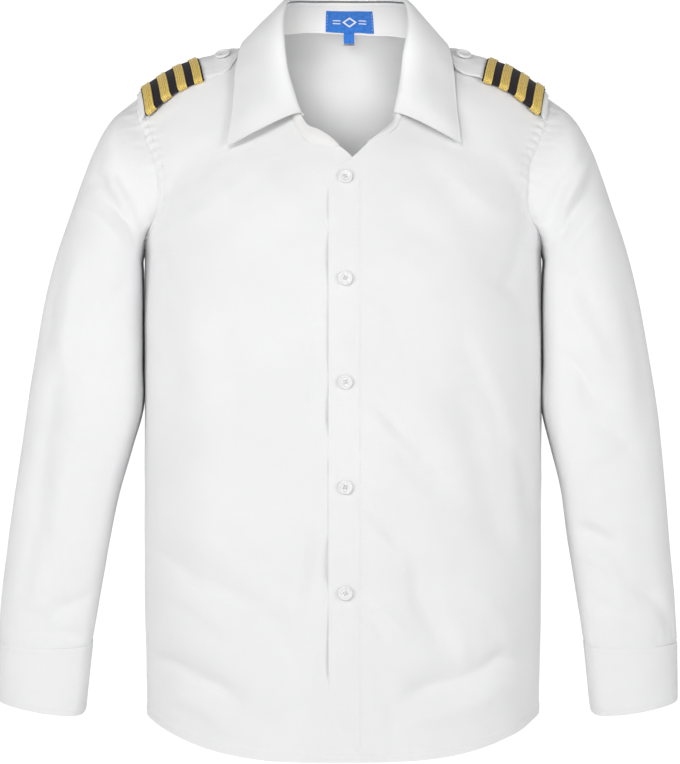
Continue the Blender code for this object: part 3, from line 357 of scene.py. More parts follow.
def makeSatin(name, mark):
    # woven label: shiny rows of thread, and a plain lozenge between two pairs of short rules
    material, tree, shader = startMaterial(name, 0.5, Sheen_Weight=0.2)
    place, across, along = clothPlace(tree)
    threads = (along * 21000.0).sine() * 0.5 + (across * 12000.0).sine() * 0.3
    noise = place.noise(500.0, 2.0)
    colour = mixColour(noise.fold(0.3, 0.7), satin["deep"], satin["blue"])
    if mark:
        blur = satin["blur"]
        outer, inner = satin["lozenge"]
        aside, near, far = satin["rules"]
        dx = (across - satin["middle"][0]).size()
        dz = (along - satin["middle"][1]).size()
        reach = dx * 0.7 + dz
        lozenge = reach.fold(outer, outer - blur) - reach.fold(inner, inner - blur)
        span = dx.fold(near, near + blur) - dx.fold(far, far + blur)
        rules = (dz - aside).size().fold(0.0005, 0.0003) * span
        colour = mixColour(lozenge.most(rules), colour, satin["mark"])
    feed(tree, shader, colour, threads, 0.0001, 0.7)
    return material


buttonShell = makeShell()
darkFelt = makeFelt()
goldBraid = makeGold()
labelSatin = makeSatin("label_blue_satin", True)
tabSatin = makeSatin("label_blue_tab", False)
print("stage: materials made")

# Meshes from grids


def makeMesh(name, points, faces, material, corners=None, sharp=None):
    # one closed mesh from points in millimetres, faces and the cloth millimetres at each face corner
    mesh = bpy.data.meshes.new(name)
    mesh.from_pydata((points * 0.001).tolist(), [], faces)
    if corners is not None:
        mesh.uv_layers.new(name="cloth").data.foreach_set("uv", (corners * 0.001).ravel())
    mesh.shade_smooth()
    if sharp is not None:
        mesh.set_sharp_from_angle(angle=math.radians(sharp))
    mesh.materials.append(material)
    made = bpy.data.objects.new(name, mesh)
    bpy.context.scene.collection.objects.link(made)
    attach(made, "root")
    return made


def shell(name, points, normals, thick, material, ring=False, lift=0.0):
    # thin closed shell: the grid moved out and in by half its thickness, and strips round its edges
    rows, columns = points.shape[:2]
    thick = np.broadcast_to(thick, (rows, columns))[..., None]
    lift = np.broadcast_to(lift, (rows, columns))[..., None]
    outer = points + normals * (lift + thick / 2)
    inner = points + normals * (lift - thick / 2)
    index = np.arange(rows * columns).reshape(rows, columns)
    closed = np.concatenate([points, points[:, :1]], axis=1) if ring else points
    u = runLength(closed, 1).mean(axis=0)[None, :] * np.ones((rows, 1))
    v = runLength(closed, 0).mean(axis=1)[:, None] * np.ones((1, u.shape[1]))
    uv = np.stack([u, v], axis=-1)
    if ring:
        index = np.concatenate([index, index[:, :1]], axis=1)

    def quads(grid):
        return np.stack([grid[:-1, :-1], grid[:-1, 1:], grid[1:, 1:], grid[1:, :-1]], axis=2)

    face, corner = quads(index).reshape(-1, 4), quads(uv).reshape(-1, 4, 2)
    under = rows * columns
    faces = [face, face[:, ::-1] + under]
    corners = [corner, corner[:, ::-1]]
    edges = [(index[0, ::-1], uv[0, ::-1]), (index[-1], uv[-1])]
    if not ring:
        edges += [(index[:, 0], uv[:, 0]), (index[::-1, -1], uv[::-1, -1])]
    for line, place in edges:
        p, q = line[:-1], line[1:]
        faces.append(np.stack([q, p, p + under, q + under], axis=1))
        corners.append(np.stack([place[1:], place[:-1], place[:-1], place[1:]], axis=1))
    faces, corners = np.concatenate(faces), np.concatenate(corners)
    everything = np.concatenate([outer.reshape(-1, 3), inner.reshape(-1, 3)])
    if np.sum(np.cross(points[0, 1] - points[0, 0], points[1, 0] - points[0, 0]) * normals[0, 0]) < 0:
        faces, corners = faces[:, ::-1], corners[:, ::-1]
    return makeMesh(name, everything, faces.tolist(), material, corners, 50)


def cutFlat(points, restsOn=(), ring=False):
    # the two diagonals of each cell of the dressed grid, its first column repeated at its end for a ring;
    # no size is worked out from them and nothing is returned
    points = np.concatenate([points, points[:, :1]], axis=1) if ring else points
    one, other = points[1:, 1:] - points[:-1, :-1], points[1:, :-1] - points[:-1, 1:]


stitchValues = {"length": 2.3, "gap": 0.9, "radius": 0.19, "sink": 0.03}


def stitches(name, lines, long=stitchValues["length"], radius=stitchValues["radius"]):
    # rows of sewn stitches: along each line of points, a small four-sided spindle at even steps
    allPoints, allFaces = [], []
    ring = np.radians(np.arange(4) * 90 + 45)
    faces = [[0, 1 + k, 1 + (k + 1) % 4] for k in range(4)]
    faces += [[1 + k, 5 + k, 5 + (k + 1) % 4] for k in range(4)]
    faces += [[1 + k, 5 + (k + 1) % 4, 1 + (k + 1) % 4] for k in range(4)]
    faces += [[9, 5 + (k + 1) % 4, 5 + k] for k in range(4)]
    faces = np.array(faces)[:, ::-1]
    count = 0
    for points, normals in lines:
        run = runLength(points, 0)
        places = np.arange(stitchValues["gap"], run[-1] - long, long + stitchValues["gap"])
        a, b = follow(places, run, points), follow(places + long, run, points)
        up = unit(follow(places + long / 2, run, normals))
        way = unit(b - a)
        side = unit(np.cross(way, up))
        swing = (np.cos(ring)[:, None, None] * side + np.sin(ring)[:, None, None] * up) * radius
        near = a + (b - a) * 0.22 + swing
        far = a + (b - a) * 0.78 + swing
        lifted = up * (radius * 0.5 - stitchValues["sink"])
        start, end = (a - up * radius * 0.4)[None], (b - up * radius * 0.4)[None]
        shape = np.concatenate([start, near, far, end]) + lifted
        shape = np.moveaxis(shape, 1, 0).reshape(-1, 3)
        allFaces.append((faces[None] + 10 * np.arange(len(places))[:, None, None]).reshape(-1, 3) + count)
        count += len(shape)
        allPoints.append(shape)
    makeMesh(name, np.concatenate(allPoints), np.concatenate(allFaces).tolist(), whiteThread,
             sharp=180)


# Body of the shirt: rings round it below the underarm, arches over the shoulder above


body = {
    "ringPower": 2 / 2.3, "corner": 0.13, "underarm": -172.0, "hemCentre": -570.0, "hemRise": 32.0,
    "hemHalf": 156.0, "hemPower": 3.2, "frontArch": 1.5, "backArch": 2.2,
    # v, half width, front depth, back depth
    "below": ((0.0, 158.0, 94.0, 105.0), (0.15, 158.3, 98.0, 99.0), (0.4, 158.0, 100.0, 89.0),
              (0.57, 158.0, 99.0, 86.0), (0.75, 158.0, 97.0, 89.0), (1.0, 155.8, 95.0, 95.0)),
    # h, half width
    "chest": ((0.0, 158.0), (0.09, 160.0), (0.25, 163.0), (0.43, 168.0), (0.7, 176.0), (1.0, 185.0)),
    # x, z
    "ridge": ((0, 22.0), (20, 20.0), (40, 12.0), (57, 2.0), (68, -2.6), (82, -8.0), (98, -14.0),
              (112, -20.0), (136, -30.5), (150, -39.5), (165, -49.0), (186, -62.0)),
    # h, front angle, back angle
    "armhole": ((0.0, 90.0, 90.0), (0.03, 85.0, 85.0), (0.07, 80.0, 80.5), (0.12, 74.5, 76.0),
                (0.18, 67.0, 71.5), (0.3, 60.9, 66.5), (0.5, 58.3, 63.0), (0.66, 60.4, 61.8),
                (0.855, 62.3, 61.2), (1.0, 61.0, 61.0)),
    # h, x
    "neckLeft": ((0.33, -10.5), (0.3577, 3.5), (0.444, 22.0), (0.48, 33.0), (0.511, 40.0),
                 (0.561, 44.5), (0.7216, 54.0), (0.8806, 59.0), (1.0, 59.5)),
    "neckRight": ((0.345, 13.1), (0.392, 3.5), (0.4125, -1.6), (0.4225, -18.5), (0.435, -24.3),
                  (0.466, -31.3), (0.5226, -36.8), (0.6785, -48.0), (0.852, -54.0), (1.0, -54.5)),
    "neckShift": 2.5, "neckSide": {1: 15.74, -1: 14.2},
    # h where the left front's free edge ends, and where the collar's seam begins on each front
    "openTo": 0.33, "collarFrom": {1: 0.4224, -1: 0.4128},
    # distance, arch angle
    "neckBack": ((0, 66.6), (20, 68.0), (40, 74.0), (50, 79.5), (57, 90.0)),
    "topEdge": -11.3, "underEdge": 13.1, "lapLift": 0.85, "lapBlend": (17.0, 52.0), "lapEnd": (0.42, 0.56),
    "frontSpan": (24.0, 60.0), "relaxTimes": 90,
}

# x0, z0, x1, z1, half width, depth, bend
mainFolds = {
    "front": (
        (174, -154, 212, -94, 9, -4.4, 0), (190, -168, 226, -120, 11, 2.6, 0),
        (-170, -150, -198, -114, 8, -3.4, 0), (-186, -164, -216, -126, 10, 2.2, 0),
        (184, -262, 206, -300, 10, -2.4, 0), (186, -394, 216, -408, 9, -3.0, 0),
        (-214, -446, -240, -470, 9, -2.2, 0), (10, -283, 74, -358, 13, -3.0, 0),
        (12, -364, 60, -432, 14, -2.8, 0), (58, -428, 92, -516, 15, -2.6, 0),
        (92, -256, 122, -400, 15, -2.8, 0), (44, -520, 148, -484, 13, -3.0, 0),
        (132, -330, 149, -384, 10, -2.0, 0), (-150, -406, -70, -446, 14, -2.6, 0),
        (-150, -490, -82, -520, 12, -2.8, 0),
    ),
    "back": (
        (-60, -190, -26, -420, 20, -3.2, 0), (66, -180, 34, -400, 20, -2.8, 0),
        (-128, -250, -70, -350, 15, 2.2, 0), (130, -230, 84, -340, 15, 2.4, 0),
        (100, -460, 40, -530, 15, -2.0, 0), (188, -160, 216, -110, 10, -3.0, 0),
        (-188, -160, -216, -110, 10, -3.0, 0), (-210, -330, -236, -300, 10, -2.2, 0),
        (206, -350, 232, -316, 10, -2.2, 0),
    ),
}


def ridgeHeight(x):
    return smooth(np.abs(x), pick(body["ridge"], 0), pick(body["ridge"], 1))


def chestHalf(h):
    return smooth(h, pick(body["chest"], 0), pick(body["chest"], 1))


def angleAt(x, half):
    # angle round the superellipse, in degrees, where its x is the one given
    ratio = np.clip(np.abs(x) / half, 0, 1) ** (1 / body["ringPower"])
    return np.degrees(np.arcsin(ratio)) * np.sign(x)


def archHeight(up, arch):
    return np.sin(np.radians(np.clip(up, 0, 90))) ** (2 / arch)


def bodyPoint(angle, level):
    # superellipse ring at each level: below the underarm it keeps its depth, above it the depth
    # shrinks as the cosine of the arch angle while the height follows its sine to the ridge
    angle, level = np.broadcast_arrays(np.asarray(angle, float), np.asarray(level, float))
    turn = np.radians(angle)
    across = np.sign(np.sin(turn)) * np.abs(np.sin(turn)) ** body["ringPower"]
    front = np.cos(turn) > 0
    v = np.clip(-level, 0, 1)
    along = np.abs(np.cos(turn)) ** (body["ringPower"] - body["corner"] * ease(v, 0.0, 0.2))
    rows = body["below"]
    lowWidth, frontDepth, backDepth = (smooth(v, pick(rows, 0), pick(rows, n)) for n in (1, 2, 3))
    depth = np.where(front, frontDepth, backDepth)
    up = np.clip(level, 0, 1) * 90
    h = archHeight(up, np.where(front, body["frontArch"], body["backArch"]))
    upper = level > 0
    x = across * np.where(upper, chestHalf(h), lowWidth)
    hem = body["hemCentre"] + body["hemRise"] * (np.abs(x) / body["hemHalf"]) ** body["hemPower"]
    z = np.where(upper, body["underarm"] + (ridgeHeight(x) - body["underarm"]) * h,
                 body["underarm"] + (hem - body["underarm"]) * v)
    fullness = np.where(front, 1.5 - 0.5 * ease(np.abs(x), 50, 130), 1.0)
    shrink = np.where(upper, np.cos(np.radians(up)) ** fullness, 1.0)
    return np.stack([x, np.where(front, -1.0, 1.0) * depth * along * shrink, z], axis=-1)


def bodyNormal(angle, level):
    # cross product of small steps round the ring and up the body
    angle, level = np.broadcast_arrays(np.asarray(angle, float), np.asarray(level, float))
    level = np.clip(level, -0.995, 0.985)
    around = bodyPoint(angle + 0.4, level) - bodyPoint(angle - 0.4, level)
    upward = bodyPoint(angle, level + 0.004) - bodyPoint(angle, level - 0.004)
    return unit(np.cross(around, upward))


def creaseDepth(points, normals, table):
    # each crease is a trough or ridge exp(-aside squared) along a bent line seen from its face
    total = np.zeros(points.shape[:-1])
    for face, towards in (("front", -normals[..., 1]), ("back", normals[..., 1])):
        shown = ease(towards, 0.1, 0.7)
        for x0, z0, x1, z1, half, depth, bend in table[face]:
            length = math.hypot(x1 - x0, z1 - z0)
            lx, lz = (x1 - x0) / length, (z1 - z0) / length
            dx, dz = points[..., 0] - x0, points[..., 2] - z0
            along = (dx * lx + dz * lz) / length
            aside = (dz * lx - dx * lz - bend * np.sin(np.pi * np.clip(along, 0, 1))) / half
            ends = ease(along, -0.25, 0.3) * (1 - ease(along, 0.7, 1.25))
            total += depth * np.exp(-aside ** 2) * ends * shown
    return total


def foldDepth(points, normals):
    # the main folds, which die out towards the button band
    flat = np.where(normals[..., 1] < 0, ease(np.abs(points[..., 0]), *body["frontSpan"]), 1.0)
    return creaseDepth(points, normals, mainFolds) * flat


def neckX(side, h):
    rows = body["neckLeft"] if side > 0 else body["neckRight"]
    edge = body["topEdge"] if side > 0 else body["underEdge"]
    return np.where(h < rows[0][0], edge, smooth(h, pick(rows, 0), pick(rows, 1), steady=True))


def armholeAngle(h, face):
    return smooth(h, pick(body["armhole"], 0), pick(body["armhole"], face), steady=True)


def finer(stops, step):
    # a list of numbers that passes through each stop in even steps no longer than step
    parts = [np.linspace(a, b, max(2, int(math.ceil(abs(b - a) / step)) + 1))[:-1]
             for a, b in zip(stops[:-1], stops[1:])]
    return np.concatenate(parts + [[stops[-1]]])


# Creases that the solids leave to the cloth, in the same columns


softCreases = {
    "front": (
        # pulls below each button of the wearer's left front, and the long soft folds they start
        (13, -284, 46, -318, 4, -1.3, 3), (22, -304, 66, -348, 5, 1.3, 3), (12, -366, 42, -404, 4, -1.2, 3),
        (24, -388, 54, -430, 5, 1.2, 4), (54, -420, 76, -474, 6, -1.1, -4), (74, -440, 96, -500, 7, 1.2, 4),
        (13, -446, 34, -478, 3.5, -1.4, 2), (22, -446, 48, -470, 3.5, 0.8, 2),
        (-4, -450, -9, -476, 3, -1.0, 1), (4, -452, 8, -484, 3, 0.7, 1), (12, -202, 40, -226, 4, -0.7, 3),
        (96, -250, 128, -350, 8, -1.5, 8), (110, -262, 140, -400, 9, 1.5, 8),
        (128, -316, 150, -372, 6, -1.3, 3), (116, -190, 150, -236, 8, -1.1, 5),
        (44, -522, 92, -508, 6, -1.6, 3), (92, -506, 126, -486, 5, -1.5, -3),
        (120, -492, 152, -500, 5, -1.3, 3), (60, -536, 130, -510, 8, 1.4, -4),
        (100, -430, 138, -500, 8, 1.1, 6), (26, -500, 40, -548, 6, -1.0, 3),
        # wearer's right front
        (-150, -408, -112, -436, 6, -1.5, 3), (-112, -430, -66, -448, 7, -1.2, -3),
        (-140, -436, -90, -470, 8, 1.3, 4), (-152, -492, -116, -504, 5, -1.7, 2),
        (-116, -504, -80, -524, 6, -1.3, 2), (-134, -520, -90, -544, 7, 1.2, 3),
        (-20, -386, -26, -446, 6, -1.3, 3), (-34, -400, -44, -470, 8, 1.0, 4),
        (-60, -450, -34, -510, 9, -0.9, 4), (-148, -214, -128, -300, 8, -1.0, 5),
        (-118, -190, -88, -290, 12, -0.9, 8), (-22, -210, -26, -300, 5, -0.9, 2),
        (-64, -150, -50, -250, 12, 0.7, 6), (-24, -476, -30, -540, 6, 0.8, 2),
        # chest and shoulders
        (60, -74, 126, -120, 11, -1.1, 6), (74, -104, 146, -150, 9, 1.0, -6),
        (-60, -78, -126, -120, 11, -1.1, -6), (-74, -112, -146, -158, 9, 0.9, 6),
        (120, -96, 152, -172, 7, -1.2, 6), (-120, -98, -150, -170, 7, -1.1, -6),
        (144, -150, 128, -200, 6, -1.2, 4), (-146, -150, -132, -204, 6, -1.2, -4),
        # sleeve caps, armpit folds, elbows and the slack above each cuff
        (157, -159, 186, -102, 4.5, -2.0, 3), (170, -150, 198, -98, 5, 1.3, 3),
        (-155, -159, -178, -110, 4.5, -2.0, -3), (-168, -150, -192, -104, 5, 1.3, -3),
        (-186, -112, -206, -118, 4, -1.0, 2), (188, -98, 204, -96, 4, -0.9, 2),
        (170, -160, 196, -124, 4, -2.6, 2), (192, -128, 208, -88, 5, -1.7, 2),
        (176, -172, 208, -130, 5, 1.8, 2), (168, -186, 196, -214, 6, -1.4, 4),
        (168, -206, 206, -262, 7, 1.3, 5), (172, -252, 196, -286, 6, -1.7, 4),
        (178, -300, 226, -326, 7, -1.4, 4), (184, -338, 226, -318, 6, 1.2, -3),
        (186, -390, 212, -402, 5, -2.2, 2), (188, -408, 220, -432, 6, 1.6, 3),
        (206, -424, 246, -450, 7, -1.4, 4), (196, -446, 232, -462, 5, -1.3, -2),
        (236, -430, 262, -474, 6, -1.3, 3), (226, -200, 240, -300, 9, -1.4, 4),
        (-168, -152, -190, -126, 4, -2.0, -2), (-190, -124, -206, -100, 5, -1.4, -2),
        (-174, -166, -204, -136, 5, 1.4, -2), (-226, -170, -236, -250, 8, -2.0, -3),
        (-208, -176, -222, -280, 8, 1.6, -4), (-222, -260, -240, -380, 8, -1.7, -4),
        (-206, -290, -226, -420, 9, 1.5, -4), (-240, -380, -252, -460, 7, -1.3, -3),
        (-170, -196, -196, -238, 6, -1.2, -4), (-168, -250, -198, -286, 6, -1.0, -4),
        (-188, -340, -226, -316, 6, -1.1, 3), (-196, -440, -226, -454, 5, -1.4, 2),
        (-206, -476, -250, -474, 4, -1.6, -2), (-230, -456, -262, -448, 5, 1.2, -2),
    ),
    "back": (
        (-20, -60, -14, -230, 14, -1.2, 5), (22, -60, 18, -230, 14, -1.2, -5),
        (-96, -90, -40, -200, 12, -1.1, 8), (96, -90, 40, -200, 12, -1.1, -8),
        (-140, -190, -90, -300, 9, -1.4, 6), (140, -190, 90, -300, 9, -1.4, -6),
        (-110, -400, -50, -500, 12, 1.3, 7), (110, -380, 60, -480, 12, 1.3, -7),
        (-30, -300, -6, -460, 12, 1.2, 6), (20, -440, 0, -550, 10, -1.3, 4),
        (-130, -470, -80, -540, 9, -1.3, 4), (136, -470, 100, -530, 9, 1.1, -4),
        (178, -190, 216, -240, 7, -1.3, 4), (-178, -190, -216, -240, 7, -1.3, -4),
        (186, -300, 240, -330, 7, 1.2, 4), (-186, -310, -240, -338, 7, 1.2, -4),
        (206, -400, 252, -436, 7, -1.3, 4), (-206, -410, -252, -440, 7, -1.3, -4),
    ),
}

# size and height of each uneven wave, and how strong the soft creases are
rumple = {"waves": ((95.0, 0.9), (42.0, 0.42), (17.0, 0.12)), "crease": 1.25}


def clothOffset(points, normals, seed):
    # main folds, soft creases, and three sizes of uneven wave
    waves = sum(height * wander(points, size, seed + n) for n, (size, height) in enumerate(rumple["waves"]))
    waves = waves * (0.25 + 0.75 * ease(np.abs(normals[..., 1]), 0.05, 0.6))
    small = creaseDepth(points, normals, softCreases) * rumple["crease"]
    return foldDepth(points, normals) + (small + waves)


def relax(points, weight, times):
    # each point moves towards the middle of its neighbours up and down, by its weight, many times
    points = points.copy()
    for _ in range(times):
        points[1:-1] += (points[2:] - 2 * points[1:-1] + points[:-2]) * 0.25 * weight[1:-1, :, None]
    return points


def waveAt(run, length, seed):
    # uneven puckers along a seam: a sine of the run whose pace and height drift
    drift = np.sin(run / 31.0 + seed) + 0.6 * np.sin(run / 13.7 + 2 * seed)
    return np.sin(2 * np.pi * run / length + 1.6 * drift) * (0.65 + 0.35 * np.sin(run / 19.0 + seed))


cloth = {"thick": 0.55, "hem": 7.5, "hemPucker": 0.16, "band": 24.4, "shoulderStitch": 2.2,
         "seamGroove": 0.55, "seamPucker": 0.6, "seamStitch": 6.5}


def seamRelief(distance, run, seed, turned):
    # groove at the seam, the turned allowance standing up to its topstitch, then puckers that fade
    stitch = cloth["seamStitch"]
    groove = -cloth["seamGroove"] * bump(distance, 0, 0.9)
    raised = 0.4 * turned * (1 - ease(distance, stitch - 0.9, stitch + 0.7))
    pinch = -0.35 * turned * bump(distance, stitch, 0.9)
    pucker = cloth["seamPucker"] * turned * waveAt(run, 7.5, seed) * bump(distance, 5, 5.5)
    return groove + raised + pinch + pucker


def hemRelief(distance, run, seed):
    # double folded hem: thick to its stitch line, a pinched line, then slack that ripples a little
    band = cloth["hem"]
    raised = 0.5 * (1 - ease(distance, band - 0.6, band + 1.0))
    pinch = -0.3 * bump(distance, band - 0.6, 0.8)
    pucker = cloth["hemPucker"] * waveAt(run, 11.0, seed) * bump(distance, band, 6.0)
    return raised + pinch + pucker


def chestBlend(points):
    # strongest at the underarm's height and away from the sides, where the body's two forms meet
    level = 1 - ease(np.abs(points[..., 2] - body["underarm"] - 4), 8, 34)
    return level * (1 - ease(np.abs(points[..., 0]), 120, 146))


def frontGrid(side):
    # rows run from the hem up the body and over the arch, columns from the opening to the side
    stops = [0, 22.5, 25.8, 28.3, 31.0, 31.6, 34, 38, 43, 49, 56, 64, 71, 77.5, 84, 90]
    level = np.concatenate([-finer([1, 0.94, 0.0], 0.0054)[:-1], finer(stops, 0.9) / 90])
    upper = level > 0
    h = np.where(upper, archHeight(level * 90, body["frontArch"]), 0.0)
    below = body["below"]
    half = np.where(upper, chestHalf(h), smooth(np.clip(-level, 0, 1), pick(below, 0), pick(below, 1)))
    start = angleAt(neckX(side, h), half)
    end = side * np.where(upper, armholeAngle(h, 1), 90.0)
    share = finer([0, 0.145, 0.94, 1.0], 0.0125)
    angle = start[:, None] + (end - start)[:, None] * share
    level = np.broadcast_to(level[:, None], angle.shape)
    plain, out = bodyPoint(angle, level), bodyNormal(angle, level)
    weight = chestBlend(plain)
    times = body["relaxTimes"]
    return relax(plain, weight, times), unit(relax(out, weight, times)), h, upper


def dressFront(side, seed):
    # the grid moved along its normals by its folds, the seams' relief and, on the left front, the
    # lifted lap and the stitched button band
    plain, out, h, upper = frontGrid(side)
    points = plain + out * clothOffset(plain, out, seed)[..., None]
    if side > 0:
        lap = (1 - ease(plain[..., 0], *body["lapBlend"])) * (1 - ease(h[:, None], *body["lapEnd"]))
        points = points + out * (body["lapLift"] * lap)[..., None]
    low = int(np.argmax(upper))
    up, across = runLength(points, 0), runLength(points, 1)
    toSide = across[:, -1:] - across
    relief = hemRelief(up, across, seed)
    seam = seamRelief(toSide, up, seed + 3, 1.0)
    plainSeam = seamRelief(toSide, up, seed + 5, 0.0)
    relief = relief + np.where(np.arange(len(points))[:, None] >= low, seam, plainSeam)
    shoulder = runLength(points[::-1], 0)[::-1]
    relief = relief + seamRelief(shoulder, across, seed + 7, 0.4) * (across > 1)
    if side > 0:
        band = cloth["band"]
        raised = 0.28 * (1 - ease(across, band - 0.5, band + 0.8))
        raised = raised - 0.12 * bump(across, band, 0.9) - 0.5 * bump(across, 0, 0.9)
        edge = 0.1 * waveAt(up, 14.0, seed) * bump(across, 3, 4.0)
        relief = relief + (raised + edge) * (h < body["openTo"])[:, None]
    return points + out * relief[..., None], out, h, low


def dressBack(seed):
    # columns run from the right armhole over the neck to the left; above the underarm each
    # column's rows end at the neck's curve or at the ridge
    level = np.concatenate([-finer([1, 0.94, 0.0], 0.0068)[:-1], finer([0, 8, 90], 1.0) / 90])
    upper = level > 0
    h = np.where(upper, archHeight(level * 90, body["backArch"]), 0.0)
    limit = np.where(upper, armholeAngle(h, 2), 90.0)[:, None]
    share = finer([0, 0.92, 1.0], 0.0165)
    right = body["neckSide"][-1] + (limit - body["neckSide"][-1]) * share[::-1]
    left = body["neckSide"][1] + (limit - body["neckSide"][1]) * share
    neck = np.linspace(-body["neckSide"][-1], body["neckSide"][1], 36)[1:-1]
    neck = np.broadcast_to(neck, (len(level), len(neck)))
    turned = np.concatenate([-right, neck, left], axis=1)
    topX = bodyPoint(180 - turned[-1], 1.0)[:, 0]
    top = smooth(np.abs(topX - body["neckShift"]), pick(body["neckBack"], 0), pick(body["neckBack"], 1),
                 steady=True) / 90
    level = level[:, None] * np.where(level[:, None] > 0, top, 1.0)
    plain, out = bodyPoint(180 - turned, level), bodyNormal(180 - turned, level)
    weight = chestBlend(plain)
    times = body["relaxTimes"]
    plain, out = relax(plain, weight, times), unit(relax(out, weight, times))
    points = plain + out * clothOffset(plain, out, seed)[..., None]
    up, across = runLength(points, 0), runLength(points, 1)
    relief = hemRelief(up, across, seed)
    isUpper = upper[:, None]
    for n, reach in enumerate((across, across[:, -1:] - across)):
        relief = relief + np.where(isUpper, seamRelief(reach, up, seed + n, 1.0),
                                   seamRelief(reach, up, seed, 0.0))
    return points + out * relief[..., None], out, int(np.argmax(upper)), len(share), len(neck[0])


fronts = {side: dressFront(side, seed) for side, seed in ((1, 11), (-1, 23))}
backPoints, backOut, backLow, shareCount, neckCount = dressBack(37)
print("stage: body surfaces worked out")


def crossing(distance, inset):
    # fractional column at which each row's distance passes the inset
    above = distance > inset
    c = np.clip(np.argmax(above != above[:, :1], axis=1) - 1, 0, distance.shape[1] - 2)
    rows = np.arange(len(distance))
    near, far = distance[rows, c], distance[rows, c + 1]
    return c + np.clip((inset - near) / np.where(far == near, 1, far - near), 0, 1)


def lineOn(points, out, rows, columns, thick):
    # a line on a grid at fractional rows and columns, lifted to the cloth's outer face
    rows, columns = np.broadcast_arrays(np.asarray(rows, float), np.asarray(columns, float))
    up = unit(sampleGrid(out, rows, columns))
    return sampleGrid(points, rows, columns) + up * thick / 2, up


def downLine(points, out, inset, first, last, far, thick):
    # a line down a grid's rows, held at an inset from its first or its far column
    across = runLength(points, 1)
    columns = crossing(across[:, -1:] - across if far else across, inset)
    rows = np.arange(first, last)
    return lineOn(points, out, rows, columns[first:last], thick)


def crossLine(points, out, inset, far, thick, first=0, last=None):
    # a line across a grid's columns, held at an inset from its first or its last row
    up = runLength(points, 0).T
    rows = crossing(up[:, -1:] - up if far else up, inset)
    columns = np.arange(len(rows))[first:last]
    return lineOn(points, out, rows[first:last], columns, thick)


frontStitch = []
thick, seamStitch, hemStitch = cloth["thick"], cloth["seamStitch"], cloth["hem"] - 0.8
for side, name in ((1, "front_left"), (-1, "front_right")):
    points, out, h, low = fronts[side]
    piece = shell(name + "_cloth", points, out, thick, whiteCloth)
    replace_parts(piece, name)
    cutFlat(points, ["back"])
    frontStitch.append(downLine(points, out, seamStitch, low + 6, len(points) - 1, True, thick))
    frontStitch.append(crossLine(points, out, hemStitch, False, thick, 1, -1))
    frontStitch.append(crossLine(points, out, cloth["shoulderStitch"], True, thick, 1, -1))
    if side > 0:
        top = int(np.argmax(h > body["openTo"]))
        frontStitch.append(downLine(points, out, cloth["band"], 6, top, False, thick))
backStitch = [crossLine(backPoints, backOut, hemStitch, False, thick, 1, -1)]
last = len(backPoints) - 1
backStitch += [downLine(backPoints, backOut, seamStitch, backLow + 6, last, far, thick)
               for far in (False, True)]
piece = shell("back_cloth", backPoints, backOut, thick, whiteCloth)
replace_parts(piece, "back")
cutFlat(backPoints, ["front_left", "front_right"])
stitches("front_stitching", frontStitch)
stitches("back_stitching", backStitch)
print("stage: fronts and back sewn")

# Sleeves and cuffs: rings between the outer and inner edge seen from the front


sleeve = {
    # outer x, outer z, inner x, inner z, half depth, middle y, skew, left sleeve's outer and
    # inner shift, front dip
    "rings": ((184.0, -66.0, 160.8, -179.0, 49.0, 1.0, 0.0, 0.0, 0.0, 0.0),
              (197.0, -88.0, 160.4, -185.0, 50.0, 1.0, 0.04, 0.0, 0.0, 0.0),
              (207.0, -112.0, 160.0, -192.0, 50.0, 1.0, 0.09, 0.4, 0.0, 0.0),
              (217.0, -140.0, 159.7, -200.0, 49.0, 1.0, 0.14, 0.8, 0.0, 0.0),
              (228.0, -172.0, 159.4, -212.0, 47.5, 0.5, 0.19, 1.2, 0.0, 0.0),
              (236.5, -205.0, 159.4, -230.0, 46.0, 0.0, 0.23, 1.4, 0.1, 0.0),
              (244.0, -245.0, 159.4, -258.0, 44.0, -1.0, 0.25, 1.5, 0.2, 0.0),
              (252.0, -296.0, 160.1, -298.0, 41.5, -2.0, 0.26, 1.5, 0.9, 0.0),
              (256.0, -325.0, 168.8, -327.0, 40.0, -3.0, 0.26, 2.5, 2.4, 0.0),
              (260.5, -358.0, 178.4, -360.0, 38.5, -4.5, 0.26, 3.8, 3.8, 0.0),
              (266.0, -396.0, 186.4, -399.0, 36.5, -6.0, 0.25, 6.5, 6.5, 0.6),
              (271.0, -440.0, 194.0, -442.0, 34.0, -8.0, 0.23, 7.4, 7.4, 2.2),
              (273.5, -481.0, 200.2, -481.5, 31.0, -10.0, 0.20, 7.8, 7.8, 4.5)),
    "flatness": 0.74, "pressed": 0.34,
    "rows": 156, "gathers": 0.16, "gatherLength": 13.0,
}
cuff = {
    "rings": ((273.5, -481.0, 200.2, -481.5, 31.3, -10.0, 0.20, 7.8, 7.8, 4.5),
              (274.2, -504.0, 203.0, -509.5, 29.8, -10.5, 0.18, 7.9, 7.9, 4.5),
              (274.4, -527.0, 206.2, -537.0, 28.0, -11.0, 0.16, 8.0, 8.0, 4.5)),
    # where the band starts, how far it laps over and how long its rise is, in degrees
    "start": 292.0, "overlap": 24.0, "ramp": 34.0, "lift": 2.3, "thick": 1.0, "stitch": 4.2,
    "columns": 150, "rows": 30, "buttonAt": (0.5, 0.958),
}


